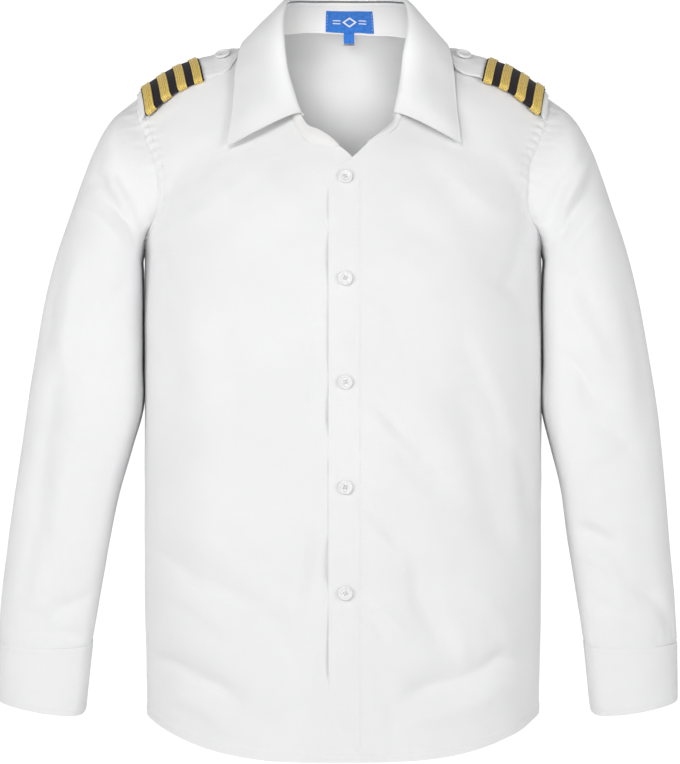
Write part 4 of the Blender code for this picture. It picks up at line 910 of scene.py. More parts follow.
def ringAt(rings, side, turn):
    # ellipse through the ring's outer and inner ends: 0 degrees outside, 90 front, 180 inside;
    # its swing is cosine - skew * sine squared, its depth the sine raised to the flatness, and
    # its height falls by the front dip * sine
    data = np.array(rings, float)[:, :, None]
    left = 1.0 if side > 0 else 0.0
    outX, inX = data[:, 0] - left * data[:, 7], data[:, 2] - left * data[:, 8]
    turn = np.radians(turn)[None, :]
    swing = np.cos(turn) - data[:, 6] * np.sin(turn) ** 2
    x = side * ((outX + inX) / 2 + (outX - inX) / 2 * swing)
    z = (data[:, 1] + data[:, 3]) / 2 + (data[:, 1] - data[:, 3]) / 2 * swing
    z = z - data[:, 9] * np.sin(turn)
    # the inner corners are sharper, where the cloth is pressed against the body
    power = sleeve["flatness"] - sleeve["pressed"] * ease(-np.cos(turn), 0.0, 0.9)
    y = data[:, 5] - data[:, 4] * np.sign(np.sin(turn)) * np.abs(np.sin(turn)) ** power
    return np.stack([x, y, z + 0 * x], axis=-1)


def dressSleeve(side, seed):
    # armhole seam, then a cubic through the rings of every column
    points, out, h, low = fronts[side]
    down = points[low - 1:, -1][::-1]
    up = backPoints[backLow:-1, -1 if side > 0 else 0]
    loop = np.concatenate([down, up])
    run = runLength(np.concatenate([loop, loop[:1]]), 0)
    under, total = run[len(down) - 1], run[-1]
    run = run[:-1]
    turn = np.where(run <= under, 180 * run / under, 180 + 180 * (run - under) / (total - under))
    stations = np.concatenate([loop[None], ringAt(sleeve["rings"], side, turn)])
    gaps = np.linalg.norm(np.diff(stations, axis=0), axis=-1).mean(axis=1)
    places = np.concatenate([[0], np.cumsum(gaps)])
    at = finer([0, 6, places[-1]], places[-1] / sleeve["rows"])
    plain = smooth(at, places, stations)
    normals = facing(gridNormals(plain, ring=True), plain, plain.mean(axis=1, keepdims=True))
    away = runLength(plain, 0)
    toCuff = away[-1:] - away
    offset = clothOffset(plain, normals, seed) * ease(away, 0, 14)
    gathers = sleeve["gathers"] * waveAt(run[None, :], sleeve["gatherLength"], seed + 2)
    offset = offset + gathers * bump(toCuff, 0, 13.0) * ease(toCuff, 0, 2.5)
    offset = offset + 0.3 * waveAt(run[None, :], 12.0, seed + 4) * bump(away, 5, 6.0)
    offset = offset - 0.6 * (1 - ease(toCuff, 0, 3.0))
    return plain + normals * offset[..., None], normals


def dressCuff(side, seed):
    # band that goes once round and laps over its own start, with a folded lower edge
    c = cuff
    last = c["start"] + 360
    turn = np.linspace(c["start"], last + c["overlap"], c["columns"] + 1)
    v = np.linspace(0, 1, c["rows"])
    points, ahead, behind, whole = (smooth(v, [0, 0.5, 1], ringAt(c["rings"], side, angles)) for angles
                                    in (turn, turn + 1, turn - 1, np.linspace(0, 345, 24)))
    normals = unit(np.cross(ahead - behind, np.gradient(points, axis=0)))
    normals = facing(normals, points, whole.mean(axis=1, keepdims=True))
    lift = c["lift"] * ease(turn, last - c["ramp"], last - 4)[None, :]
    down, across = runLength(points, 0), runLength(points, 1)
    up = down[-1:] - down
    relief = 0.35 * wander(points, 60.0, seed) + 0.12 * wander(points, 22.0, seed + 1)
    for reach in (down, up, across, across[:, -1:] - across):
        relief = relief - 0.16 * bump(reach, c["stitch"], 0.9) - 0.35 * bump(reach, 0, 0.8)
        relief = relief + 0.09 * waveAt(across + down, 9.0, seed) * bump(reach, c["stitch"], 4.0)
    return points + normals * (lift + relief)[..., None], normals


cuffSeats = {}
for side, tag in ((1, "left"), (-1, "right")):
    points, out = dressSleeve(side, 41 + side)
    piece = shell("sleeve_%s_cloth" % tag, points, out, cloth["thick"], whiteCloth,
                  ring=True)
    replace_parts(piece, "sleeve_upper_" + tag, "sleeve_lower_" + tag)
    cutFlat(points, ["front_" + tag, "back"], ring=True)
    points, out = dressCuff(side, 61 + side)
    piece = shell("cuff_%s_cloth" % tag, points, out, cuff["thick"], whiteCloth)
    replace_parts(piece, "cuff_" + tag)
    cutFlat(points, ["sleeve_lower_" + tag])
    inset, thick = cuff["stitch"], cuff["thick"]
    lines = [crossLine(points, out, inset, far, thick, 3, -3) for far in (False, True)]
    lines += [downLine(points, out, inset, 3, cuff["rows"] - 3, far, thick) for far in (False, True)]
    stitches("cuff_%s_stitching" % tag, lines)
    down, around = cuff["buttonAt"]
    seat, seatOut = lineOn(points, out, [cuff["rows"] * down], [cuff["columns"] * around], thick)
    cuffSeats[tag] = (seat[0], seatOut[0])
print("stage: sleeves and cuffs sewn")

# Collar: a stand on the neck seam, and a leaf that turns over it onto the body


stand = {
    # seam share, then x, y, z of the top edge
    "right": ((0.0, -3.5, -75.5, -89.0), (0.04, -10.5, -74.5, -83.0), (0.072, -18.0, -72.0, -78.2),
              (0.132, -27.5, -68.0, -74.0), (0.192, -34.0, -63.0, -63.5), (0.261, -38.8, -57.5, -49.0),
              (0.337, -43.3, -50.0, -33.0), (0.419, -46.0, -41.5, -16.0), (0.503, -47.4, -31.5, -0.5),
              (0.566, -47.6, -23.0, 10.5), (0.613, -47.0, -16.0, 18.0), (0.661, -45.5, -7.0, 24.5),
              (0.784, -37.0, 15.5, 30.0), (0.856, -26.0, 26.0, 31.0), (0.926, -13.0, 32.5, 31.6),
              (1.0, 2.5, 35.0, 31.8)),
    "left": ((0.0, 20.0, -73.0, -86.0), (0.07, 30.0, -67.0, -79.0), (0.152, 40.5, -59.0, -68.0),
             (0.223, 43.5, -55.0, -52.0), (0.302, 46.3, -49.0, -35.5), (0.388, 48.4, -41.0, -18.5),
             (0.475, 51.2, -31.5, -2.0), (0.541, 52.4, -23.0, 8.5), (0.59, 52.3, -16.5, 16.0),
             (0.642, 51.2, -7.5, 23.5), (0.769, 42.5, 15.5, 29.5), (0.845, 31.5, 26.0, 31.0),
             (0.917, 18.5, 32.5, 31.6), (1.0, 2.5, 35.0, 31.8)),
    "bow": 1.2, "rows": 20, "cell": 0.0055, "thick": 1.0, "topStitch": 2.6, "footStitch": 2.4,
}
leaf = {
    # seam share, face, edge x, edge z, lift, rise, turn, bulge, reach
    "right": ((0.17, "front", -90.4, -92.5, 3.4, 6.0, 7.0, 9.0, 0.5),
              (0.23, "front", -88.0, -76.0, 3.4, 7.5, 7.5, 11.0, 0.48),
              (0.337, "front", -85.6, -52.0, 3.8, 8.0, 5.5, 9.0, 0.45),
              (0.45, "front", -83.4, -26.5, 5.4, 7.5, 5.0, 6.0, 0.45),
              (0.56, "front", -77.0, -8.5, 5.4, 7.0, 4.0, 6.5, 0.45),
              (0.68, "back", -66.0, -5.5, 3.4, 8.0, 3.0, 9.0, 0.45),
              (0.8, "back", -44.0, -5.0, 3.4, 9.0, 2.0, 13.0, 0.45),
              (0.9, "back", -21.0, -4.0, 3.4, 9.0, 2.0, 13.0, 0.45),
              (1.0, "back", 2.5, -4.0, 3.4, 9.0, 2.0, 13.0, 0.45)),
    "left": ((0.152, "front", 91.6, -89.5, 3.4, 6.0, 8.0, 9.0, 0.5),
             (0.23, "front", 90.6, -75.0, 3.4, 7.5, 9.0, 11.0, 0.48),
             (0.337, "front", 89.2, -53.5, 3.8, 8.0, 5.5, 9.0, 0.45),
             (0.45, "front", 86.5, -29.5, 5.4, 7.5, 5.0, 6.0, 0.45),
             (0.56, "front", 80.5, -9.5, 5.4, 7.0, 4.0, 6.5, 0.45),
             (0.68, "back", 70.0, -7.0, 3.4, 8.0, 3.0, 9.0, 0.45),
             (0.8, "back", 49.0, -5.5, 3.4, 9.0, 2.0, 13.0, 0.45),
             (0.9, "back", 26.0, -4.0, 3.4, 9.0, 2.0, 13.0, 0.45),
             (1.0, "back", 2.5, -4.0, 3.4, 9.0, 2.0, 13.0, 0.45)),
    "start": 1.5, "rows": 44, "cell": 0.0075, "thick": 1.0, "stitch": 3.0,
}


def roundNeck(right, left):
    # both sides' rows in one list: 0 at the right end, 1 at the middle of the back, 2 at the left end
    return list(right) + [(2 - row[0],) + tuple(row[1:]) for row in left[-2::-1]]


def neckLoop():
    # the neck edge from the right front round the back to the left, with its seam shares
    right, left = fronts[-1], fronts[1]
    startRight = int(np.argmax(right[2] > body["collarFrom"][-1]))
    startLeft = int(np.argmax(left[2] > body["collarFrom"][1]))
    neck = slice(shareCount, shareCount + neckCount)
    loop = np.concatenate([right[0][startRight:, 0], backPoints[-1, neck], left[0][startLeft:, 0][::-1]])
    run = runLength(loop, 0)
    behind = np.where(loop[:, 1] > 0)[0]
    middle = np.interp(body["neckShift"], loop[behind, 0], run[behind])
    way = np.where(run < middle, run / middle, 2 - (run[-1] - run) / (run[-1] - middle))
    return loop, way


def onBody(face, x, z):
    # the body's point and normal over an x and z: the arch angle from z, the ring angle from x
    arch = body["frontArch"] if face == "front" else body["backArch"]
    h = np.clip((z - body["underarm"]) / (ridgeHeight(x) - body["underarm"]), 0, 1)
    level = np.degrees(np.arcsin(h ** (arch / 2))) / 90
    angle = angleAt(x, chestHalf(h))
    angle = 180 - angle if face == "back" else angle
    normal = bodyNormal(angle, level)
    point = bodyPoint(angle, level)
    return point + normal * foldDepth(point, normal)[..., None], normal


def dressStand(loop, way, seed):
    # straight lines from the neck seam to the top edge, bowed outward in the middle
    rows = roundNeck(stand["right"], stand["left"])
    at = np.arange(0, 2 + stand["cell"] / 2, stand["cell"])
    foot = follow(at, way, loop)
    knots = np.linspace(0, 2, 41)
    soft = smooth(at, knots, foot[np.searchsorted(at, knots - 1e-9)])
    top = smooth(at, pick(rows, 0), np.array([row[1:] for row in rows], float))
    up = np.linspace(0, 1, stand["rows"])[:, None, None]
    points = soft + (top - soft) * up
    normals = -gridNormals(points)
    relief = stand["bow"] * np.sin(np.pi * up[..., 0]) + 0.25 * wander(points, 40.0, seed)
    down = runLength(points[::-1], 0)[::-1]
    relief = relief - 0.15 * bump(down, stand["topStitch"], 0.8)
    return points + normals * relief[..., None], normals, at


def dressLeaf(standPoints, standOut, standWay, seed):
    # cubic curve at each column from the stand's top edge over to a point lifted off the body
    rows = roundNeck(leaf["right"], leaf["left"])
    stations, edge, out, shape = pick(rows, 0), [], [], []
    for row in rows:
        point, normal = onBody(row[1], row[2], row[3])
        edge.append(point + normal * row[4])
        out.append(normal)
        shape.append(row[5:])
    at = np.linspace(stations[0], stations[-1], int((stations[-1] - stations[0]) / leaf["cell"]))
    edge, out = smooth(at, stations, np.array(edge)), unit(smooth(at, stations, np.array(out)))
    rise, turn, bulge, reach = np.moveaxis(smooth(at, stations, np.array(shape)), -1, 0)[..., None]
    foot, top, aside = (follow(at, standWay, line)
                        for line in (standPoints[0], standPoints[-1], standOut[-1]))
    up = unit(top - foot)
    first = top + up * leaf["start"]
    second = first + up * rise + unit(aside) * turn
    third = first + (edge - first) * reach + out * bulge
    t = np.linspace(0, 1, leaf["rows"])[:, None, None]
    points = first * (1 - t) ** 3 + 3 * second * t * (1 - t) ** 2
    points = points + 3 * third * t ** 2 * (1 - t) + edge * t ** 3
    normals = -gridNormals(points)
    down, across = runLength(points, 0), runLength(points, 1)
    free = ease(down, 6, 26)
    relief = (0.7 * wander(points, 75.0, seed) + 0.2 * wander(points, 26.0, seed + 1)) * free
    for near in (down[-1:] - down, across, across[:, -1:] - across):
        relief = relief + 0.22 * (1 - ease(near, 1.6, 3.4)) - 0.35 * bump(near, 0, 0.7)
        relief = relief - 0.22 * bump(near, leaf["stitch"], 0.7)
    return points + normals * relief[..., None], normals


loop, way = neckLoop()
standPoints, standOut, standWay = dressStand(loop, way, 71)
# the stand wears the warmer, darker poplin copy that paints the shade inside the neck
piece = shell("collar_stand_cloth", standPoints, standOut, stand["thick"], insideShadeCloth)
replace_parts(piece, "collar_stand")
cutFlat(standPoints, ["back", "front_left", "front_right"])
leafPoints, leafOut = dressLeaf(standPoints, standOut, standWay, 73)
piece = shell("collar_leaf_cloth", leafPoints, leafOut, leaf["thick"], whiteCloth)
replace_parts(piece, "collar_leaf")
cutFlat(leafPoints, ["collar_stand"])
inset, thick = leaf["stitch"], leaf["thick"]
lines = [crossLine(leafPoints, leafOut, inset, True, thick, 3, -3)]
lines += [downLine(leafPoints, leafOut, inset, 4, leaf["rows"] - 3, far, thick) for far in (False, True)]
topStitch, footStitch, thick = stand["topStitch"], stand["footStitch"], stand["thick"]
inner = [crossLine(standPoints, standOut, topStitch, True, -thick, 3, -3),
         crossLine(standPoints, standOut, footStitch, False, -thick, 3, -3)]
lines.append(crossLine(standPoints, standOut, footStitch, False, thick, 3, -3))
stitches("collar_stitching", lines + [(a, -n) for a, n in inner])
print("stage: collar turned over")

# Shoulder straps, rank sliders and braid, all on one map of the shoulder


strap = {"root": 163.6, "shoulder": 92.5, "tip": 83.0, "front": -36.0, "back": 8.0, "tipFront": -17.0,
         "tipBack": -8.0, "thick": 1.3, "skew": 0.142, "low": 2.3, "high": 3.6, "stitch": 4.2,
         # x, arc across the ridge and lift above the low end
         "buttonAt": (97.0, -14.0, 0.9)}
slider = {"inner": 114.7, "outer": 159.4, "front": -38.4, "back": 10.4, "low": 1.75, "high": 5.45,
          "thick": 0.9, "round": 1.5, "flatSteps": 44, "noseSteps": 10}
bars = {"count": 4, "length": 0.143, "gap": 0.128, "grow": 0.75, "ribs": 4, "ribHeight": 0.4,
        "thick": 0.5, "steps": 41}


def shoulderMap():
    # table of points and normals over the ridge: rows every millimetre of x, columns of the arc
    # from the ridge, minus to the front
    xs = np.arange(74.0, 172.0, 1.0)
    arcs = np.arange(-44.0, 16.0, 1.0)
    front, back = np.linspace(40, 90, 60), np.linspace(89.5, 60, 30)
    h = np.concatenate([archHeight(front, body["frontArch"]), archHeight(back, body["backArch"])])
    angle = angleAt(xs[:, None], chestHalf(h)[None, :])
    angle[:, len(front):] = 180 - angle[:, len(front):]
    level = np.broadcast_to(np.concatenate([front, back]) / 90, angle.shape)
    section, normal = bodyPoint(angle, level), bodyNormal(angle, level)
    run = runLength(section, 1)
    run = run - run[:, len(front) - 1][:, None]
    place, out = (np.stack([follow(arcs, run[n], grid[n]) for n in range(len(xs))])
                  for grid in (section, normal))
    return xs, arcs, place, unit(out)


mapX, mapArc, mapPlace, mapOut = shoulderMap()


def overShoulder(side, along, across, lift):
    # points at x along the ridge and an arc across it, lifted along the cloth's normal
    along, across, lift = np.broadcast_arrays(np.asarray(along, float), np.asarray(across, float),
                                              np.asarray(lift, float))
    x = along - strap["skew"] * np.abs(across)
    row, column = x - mapX[0], across - mapArc[0]
    out = unit(sampleGrid(mapOut, row, column))
    points = sampleGrid(mapPlace, row, column) + out * lift[..., None]
    flip = np.array([side, 1.0, 1.0])
    return points * flip, out * flip


def dressStrap(side, seed):
    # band to the blunt point; its edge is a rounded corner of the outline, its face softly quilted
    s = strap
    along = finer([s["root"], s["shoulder"], s["tip"] + 1.2, s["tip"]], 1.4)
    ends = [s["tip"], s["tip"] + 1.4, s["shoulder"] + 1.5, s["shoulder"] + 7]
    front = [s["tipFront"] + 2.5, s["tipFront"] - 1.5, s["front"] + 3.0, s["front"]]
    back = [s["tipBack"] - 2.5, s["tipBack"] + 1.5, s["back"] - 2.0, s["back"]]
    front, back = (np.interp(along, ends, edge)[:, None] for edge in (front, back))
    lift = s["low"] + (s["high"] - s["low"]) * ease(along, 104, 113) * (1 - ease(along, 161, 163))
    share = np.linspace(0, 1, 44)
    across = front + (back - front) * share
    grid, out = overShoulder(side, along[:, None], across, lift[:, None])
    down, over = runLength(grid, 0), runLength(grid, 1)
    toTip = down[-1:] - down
    relief = 0.3 * wander(grid, 30.0, seed) + 0.1 * wander(grid, 12.0, seed + 1)
    for near in (over, over[:, -1:] - over, toTip):
        relief = relief - 0.25 * bump(near, s["stitch"], 0.8) - 0.45 * bump(near, 0, 0.8)
        relief = relief + 0.12 * waveAt(down + over, 8.0, seed) * bump(near, s["stitch"], 3.0)
    return grid + out * relief[..., None], out


def sliderLoop(grow):
    # section of the flat tube: lower run, rounded end, upper run, rounded end, grown outward
    s = slider
    half = (s["high"] - s["low"]) / 2 + grow
    middle = (s["low"] + s["high"]) / 2
    span = np.linspace(s["front"] + s["round"], s["back"] - s["round"], s["flatSteps"])
    turn = np.radians(np.linspace(-90, 90, s["noseSteps"] + 2))[1:-1]
    nose = np.cos(turn) * (s["round"] + grow)
    across = [span, s["back"] - s["round"] + nose, span[::-1], s["front"] + s["round"] - nose]
    lift = [0 * span + middle - half, middle + np.sin(turn) * half]
    lift += [0 * span + middle + half, middle - np.sin(turn) * half]
    return np.concatenate(across), np.concatenate(lift)


def dressSlider(side, seed):
    # the flat tube's section carried along the strap, a little uneven, its ends turned in
    across, lift = sliderLoop(0.0)
    along = np.linspace(slider["inner"], slider["outer"], 34)
    grid, _ = overShoulder(side, along[:, None], across[None, :], lift[None, :])
    out = facing(gridNormals(grid, ring=True), grid, grid.mean(axis=1, keepdims=True))
    ends = runLength(grid, 0)
    relief = 0.25 * wander(grid, 22.0, seed)
    for near in (ends, ends[-1:] - ends):
        relief = relief - 0.4 * bump(near, 0, 0.9)
    return grid + out * relief[..., None], out


def dressBar(side, number, seed):
    # braid over the upper run and round both noses, ribs as half waves across its width
    across, lift = sliderLoop(bars["grow"])
    first = slider["flatSteps"] + 2
    last = 2 * slider["flatSteps"] + 2 * slider["noseSteps"] - 2
    across, lift = across[first:last][::-1], lift[first:last][::-1]
    size = slider["outer"] - slider["inner"]
    margin = (1 - bars["count"] * bars["length"] - (bars["count"] - 1) * bars["gap"]) / 2
    start = slider["inner"] + size * (margin + number * (bars["length"] + bars["gap"]))
    share = np.linspace(0, 1, bars["steps"])
    along = start + size * bars["length"] * share
    grid, _ = overShoulder(side, along[:, None], across[None, :], lift[None, :])
    out = facing(gridNormals(grid), grid, grid.mean(axis=(0, 1)) - np.array([0, -12.0, 40.0]))
    ribs = np.abs(np.sin(np.pi * bars["ribs"] * share))[:, None] ** 0.7 * bars["ribHeight"]
    over = runLength(grid, 1)
    ribs = ribs * (1 + 0.22 * np.sin(over * 4.2 + 0.45 * np.arange(bars["steps"])[:, None]))
    ribs = ribs + 0.08 * wander(grid, 9.0, seed)
    return grid + out * ribs[..., None], out


strapSeats = {}
for side, tag in ((1, "left"), (-1, "right")):
    points, out = dressStrap(side, 81 + side)
    piece = shell("strap_%s_cloth" % tag, points, out, strap["thick"], whiteCloth)
    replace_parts(piece, "strap_" + tag)
    cutFlat(points, ["front_" + tag, "back"])
    inset, thick = strap["stitch"], strap["thick"]
    lines = [downLine(points, out, inset, 1, len(points) - 4, far, thick) for far in (False, True)]
    lines.append(crossLine(points, out, inset, True, thick, 8, -8))
    stitches("strap_%s_stitching" % tag, lines)
    points, out = dressSlider(side, 91 + side)
    tube = shell("slider_%s_cloth" % tag, points, out, slider["thick"], darkFelt, ring=True)
    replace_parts(tube, "slider_" + tag)
    for number in range(bars["count"]):
        name = "bar_%s_%d" % (tag, number + 1)
        row, rowOut = dressBar(side, number, 101 + 7 * number + side)
        piece = shell(name + "_braid", row, rowOut, bars["thick"], goldBraid)
        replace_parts(piece, name)
    cutFlat(points, ["strap_" + tag], ring=True)
    x, arc, lift = strap["buttonAt"]
    seat, seatOut = overShoulder(side, [x], [arc], [strap["low"] + lift])
    strapSeats[tag] = (seat[0], seatOut[0])
print("stage: straps, sliders and braid made")

# Buttons: four holes in a dished face, with crossed thread


button = {
    "x": 1.9, "z": (-115.3, -194.5, -275.0, -356.3, -438.3), "turns": (8, -20, 15, -9, 30),
    "seat": 0.35, "radius": 5.6, "strapRadius": 6.2, "cuffRadius": 5.0, "around": 72, "step": 0.26,
    # radius and height of the profile, from the middle of the face over the rim to the back
    "profile": ((0.0, 1.45), (1.0, 1.45), (2.0, 1.47), (3.3, 1.58), (3.75, 1.9), (4.05, 2.2), (4.5, 2.3),
                (5.0, 2.25), (5.4, 1.95), (5.6, 1.4), (5.5, 0.8), (5.0, 0.35), (4.5, 0.1), (2.0, 0.0),
                (0.0, 0.0)),
    "hole": 0.72, "holeSpread": 1.35, "holeDepth": 1.15, "threadRadius": 0.24,
}


def buttonFrame(out):
    # two directions square to the button's axis
    pole = [0.0, 0.0, 1.0] if abs(out[2]) < 0.9 else [0.0, 1.0, 0.0]
    side = unit(np.cross(pole, out))
    return side, np.cross(out, side)


def closeRound(grid):
    # faces between a grid's rows, each row closed on its first point
    grid = np.concatenate([grid, grid[:, :1]], axis=1)
    quads = np.stack([grid[:-1, :-1], grid[:-1, 1:], grid[1:, 1:], grid[1:, :-1]], axis=-1)
    return grid, quads.reshape(-1, 4)


def makeButton(name, node, radius, seat, out, spin):
    # profile turned round the button's axis: dished face, rounded rim, flat back; round pits for holes
    b = button
    profileR, profileH = np.array(b["profile"]).T
    profileR = profileR * radius / b["radius"]
    run = np.concatenate([[0], np.cumsum(np.hypot(np.diff(profileR), np.diff(profileH)))])
    stops = finer([0, run[3], run[9], run[12], run[-1]], b["step"])[1:-1]
    r, height = smooth(stops, run, profileR, steady=True), smooth(stops, run, profileH, steady=True)
    turn = np.linspace(0, 2 * np.pi, b["around"], endpoint=False)
    x, y = r[:, None] * np.cos(turn), r[:, None] * np.sin(turn)
    z = np.broadcast_to(height[:, None], x.shape)
    face = (stops < run[4])[:, None]
    angles = [math.radians(spin + 45 + 90 * k) for k in range(4)]
    for angle in angles:
        gap = np.hypot(x - b["holeSpread"] * math.cos(angle), y - b["holeSpread"] * math.sin(angle))
        z = z - b["holeDepth"] * (1 - ease(gap, b["hole"] - 0.18, b["hole"] + 0.08)) * face
    side, up = buttonFrame(out)
    base = seat + out * b["seat"]
    ends = np.array([[0, 0, profileH[0]], [0, 0, 0]])
    local = np.concatenate([np.stack([x, y, z], axis=-1).reshape(-1, 3), ends])
    placed = base + local[:, :1] * side + local[:, 1:2] * up + local[:, 2:] * out
    index, quads = closeRound(np.arange(x.size).reshape(x.shape))
    faceFan = np.stack([np.full(b["around"], x.size), index[0, :-1], index[0, 1:]], axis=-1)
    backFan = np.stack([np.full(b["around"], x.size + 1), index[-1, 1:], index[-1, :-1]], axis=-1)
    faces = quads[:, [0, 3, 2, 1]].tolist() + faceFan.tolist() + backFan.tolist()
    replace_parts(makeMesh(name, placed, faces, buttonShell), node)
    lines = []
    across = np.linspace(-0.25, 1.0, 14)
    bow = np.sin(np.pi * np.clip(0.5 + (0.5 - across) * 0.5, 0, 1)) ** 2
    height = profileH[0] - 0.55 + 0.95 * bow
    for k, angle in enumerate(angles):
        aside = 0.16 * (1 if k % 2 else -1)
        reach = b["holeSpread"] * across
        px = reach * math.cos(angle) - aside * math.sin(angle)
        py = reach * math.sin(angle) + aside * math.cos(angle)
        lines.append(base + px[:, None] * side + py[:, None] * up + height[:, None] * out)
    tubes(name + "_thread", lines, b["threadRadius"], out)


def tubes(name, lines, radius, out):
    # round threads: a ring of points square to each line at every point, with closed ends
    points, faces, count = [], [], 0
    turn = np.linspace(0, 2 * np.pi, 8, endpoint=False)
    for line in lines:
        way = unit(np.gradient(line, axis=0))
        side = unit(np.cross(way, out))
        up = np.cross(side, way)
        rings = (line[:, None] + radius * (np.cos(turn)[None, :, None] * side[:, None]
                                          + np.sin(turn)[None, :, None] * up[:, None]))
        index, quads = closeRound(np.arange(rings.shape[0] * 8).reshape(-1, 8) + count)
        faces += quads.tolist()
        faces += [index[0, :-1][::-1].tolist(), index[-1, :-1].tolist()]
        points.append(rings.reshape(-1, 3))
        count += rings.shape[0] * 8
    makeMesh(name, np.concatenate(points), faces, whiteThread)


def onFrontCloth(x, z):
    # place on the dressed left front nearest to an x and z
    points, out = fronts[1][0], fronts[1][1]
    gap = (points[..., 0] - x) ** 2 + (points[..., 2] - z) ** 2
    row, column = np.unravel_index(np.argmin(gap), gap.shape)
    return points[row, column] + out[row, column] * cloth["thick"] / 2, out[row, column]


for number, z in enumerate(button["z"]):
    seat, out = onFrontCloth(button["x"], z)
    seat = seat + np.array([button["x"] - seat[0], 0, z - seat[2]])
    name = "button_%d" % (number + 1)
    makeButton(name + "_shell", name, button["radius"], seat, out, button["turns"][number])
for tag in ("left", "right"):
    name = "strap_button_" + tag
    makeButton(name + "_shell", name, button["strapRadius"], *strapSeats[tag], 12)
    name = "cuff_button_" + tag
    makeButton(name + "_shell", name, button["cuffRadius"], *cuffSeats[tag], 20)
print("stage: buttons sewn on")

# Neck label and size tab


label = {"left": -14.0, "right": 24.7, "low": 0.06, "high": 0.74, "lift": 0.95, "thick": 0.35,
         "columns": 60, "rows": 26, "tabFrom": 0.6, "tabTo": 9.2, "tabDrop": 8.4, "tabThick": 0.5}


def dressLabel():
    # band laid inside the back of the stand, its ends pressed down by two rows of stitches
    behind = np.where(standPoints[0, :, 1] > 10)[0]
    x = np.linspace(label["left"], label["right"], label["columns"])
    rows = np.linspace(label["low"], label["high"], label["rows"]) * (stand["rows"] - 1)
    columns = np.interp(x, standPoints[stand["rows"] // 2, behind, 0], behind)
    rowGrid, columnGrid = np.meshgrid(rows, columns, indexing="ij")
    out = -unit(sampleGrid(standOut, rowGrid, columnGrid))
    points = sampleGrid(standPoints, rowGrid, columnGrid)
    run = runLength(points, 1)
    edge = np.minimum(run, run[:, -1:] - run)
    puff = 0.55 * ease(edge, 0.5, 6.0) + 0.15 * wander(points, 14.0, 5)
    return points + out * (label["lift"] + puff)[..., None], out


def dressTab(points, out):
    # folded loop of satin that hangs from the label's lower edge, bowed by half a sine
    x = np.linspace(label["tabFrom"], label["tabTo"], 20)
    edge, edgeOut = follow(x, points[0, :, 0], points[0]), follow(x, points[0, :, 0], out[0])
    edgeOut = unit(edgeOut * [1, 1, 0])
    down = np.linspace(0, label["tabDrop"], 20)[:, None, None]
    tabPoints = edge[None] + np.array([0, 0, -1.0]) * (down + 0.2)
    bow = 0.3 * np.sin(np.pi * down[..., 0] / label["tabDrop"]) + 0.1 * wander(tabPoints, 8.0, 9)
    tabOut = np.broadcast_to(edgeOut, tabPoints.shape)
    return tabPoints + tabOut * bow[..., None], tabOut


labelPoints, labelOut = dressLabel()
piece = shell("neck_label_satin", labelPoints, labelOut, label["thick"], labelSatin)
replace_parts(piece, "neck_label")
ends = [lineOn(labelPoints, labelOut, np.arange(2, 24), np.full(22, column), label["thick"])
        for column in (1.6, label["columns"] - 2.6)]
stitches("neck_label_stitching", ends, long=1.6, radius=0.13)
points, out = dressTab(labelPoints, labelOut)
tab = shell("size_tab_satin", points, out, label["tabThick"], tabSatin)
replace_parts(tab, "size_tab")
cutFlat(labelPoints, ["collar_stand"])
print("stage: label sewn in")

# Stage, camera and lights


studio = {"floor": -0.80, "front": -4.0, "back": 1.6, "half": 4.0, "pale": (0.90, 0.90, 0.905, 1.0),
          "room": 0.50, "behind": 1.10, "overhead": 0.28, "spotBlend": 0.45}


def makeFloor():
    # plain pale sheet, tinted a little by soft noise
    half, front, back, level = (studio[key] for key in ("half", "front", "back", "floor"))
    corners = [(-half, front, level), (half, front, level), (half, back, level), (-half, back, level)]
    mesh = bpy.data.meshes.new("floor")
    mesh.from_pydata(corners, [], [(0, 1, 2, 3)])
    material, tree, shader = startMaterial("pale_paper", 0.9)
    noise = objectPlace(tree).noise(3.0, 2.0)
    feed(tree, shader, mixColour(noise, dimmer(studio["pale"], 0.985), studio["pale"]))
    mesh.materials.append(material)
    floor = bpy.data.objects.new("floor", mesh)
    bpy.context.scene.collection.objects.link(floor)


makeFloor()

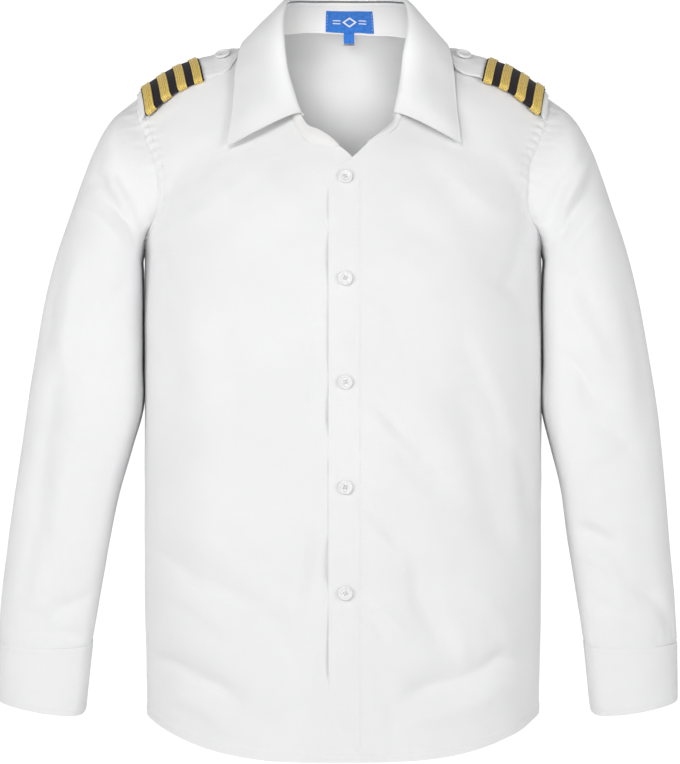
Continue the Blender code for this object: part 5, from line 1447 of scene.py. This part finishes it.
view = {"place": (-0.0024, -3.0, -0.275), "lens": 176.7, "sensor": 36}
camera = bpy.data.objects.new("camera", bpy.data.cameras.new("camera"))
camera.location = view["place"]
camera.rotation_euler = (math.radians(90), 0, 0)
camera.data.lens = view["lens"]
camera.data.sensor_width = view["sensor"]
bpy.context.scene.collection.objects.link(camera)
bpy.context.scene.camera = camera

# kind, name, place, aim, width in metres or cone in degrees, height or soft radius, watts
lightRows = (
    ("AREA", "key", (-1.0, -2.7, 1.05), (0, 0, -0.25), 0.8, 0.8, 25.0),
    ("AREA", "leftSide", (-2.0, -1.9, 0.0), (0, 0, -0.3), 0.9, 0.9, 17.0),
    ("AREA", "rightSide", (2.0, -1.9, 0.0), (0, 0, -0.3), 0.9, 0.9, 20.0),
    ("SPOT", "neckLight", (0.0, -1.5, 0.10), (0.002, 0.06, -0.024), 3.7, 0.03, 82.0),
)
for kind, name, place, aim, width, height, watts in lightRows:
    data = bpy.data.lights.new(name, kind)
    data.energy = watts
    if kind == "AREA":
        data.shape = "RECTANGLE"
        data.size, data.size_y = width, height
    else:
        data.spot_size, data.shadow_soft_size = math.radians(width), height
        data.spot_blend = studio["spotBlend"]
    lamp = bpy.data.objects.new(name, data)
    lamp.location = place
    away = np.array(place) - np.array(aim)
    flat = math.hypot(away[0], away[1])
    lamp.rotation_euler = (math.atan2(flat, away[2]), 0, math.atan2(away[1], away[0]) + math.pi / 2)
    bpy.context.scene.collection.objects.link(lamp)

# white room: brightest straight behind the shirt, weaker overhead
world = bpy.data.worlds.new("soft_room")
world.use_nodes = True
room = world.node_tree
direction = makeNode(room, "ShaderNodeSeparateXYZ", None, {"Vector": makeNode(room, "ShaderNodeTexCoord")})
behind = direction.output(1).fold(0.5, 0.9)
overhead = direction.output(2).fold(0.0, 1.0)
glow = studio["room"] + behind * (studio["behind"] - studio["room"]) - overhead * studio["overhead"]
room.links.new(glow.socket, room.nodes["Background"].inputs["Strength"])
room.nodes["Background"].inputs["Color"].default_value = (1.0, 1.0, 1.0, 1.0)
bpy.context.scene.world = world
bpy.context.scene.view_settings.view_transform = "Standard"
print("stage: studio lit")
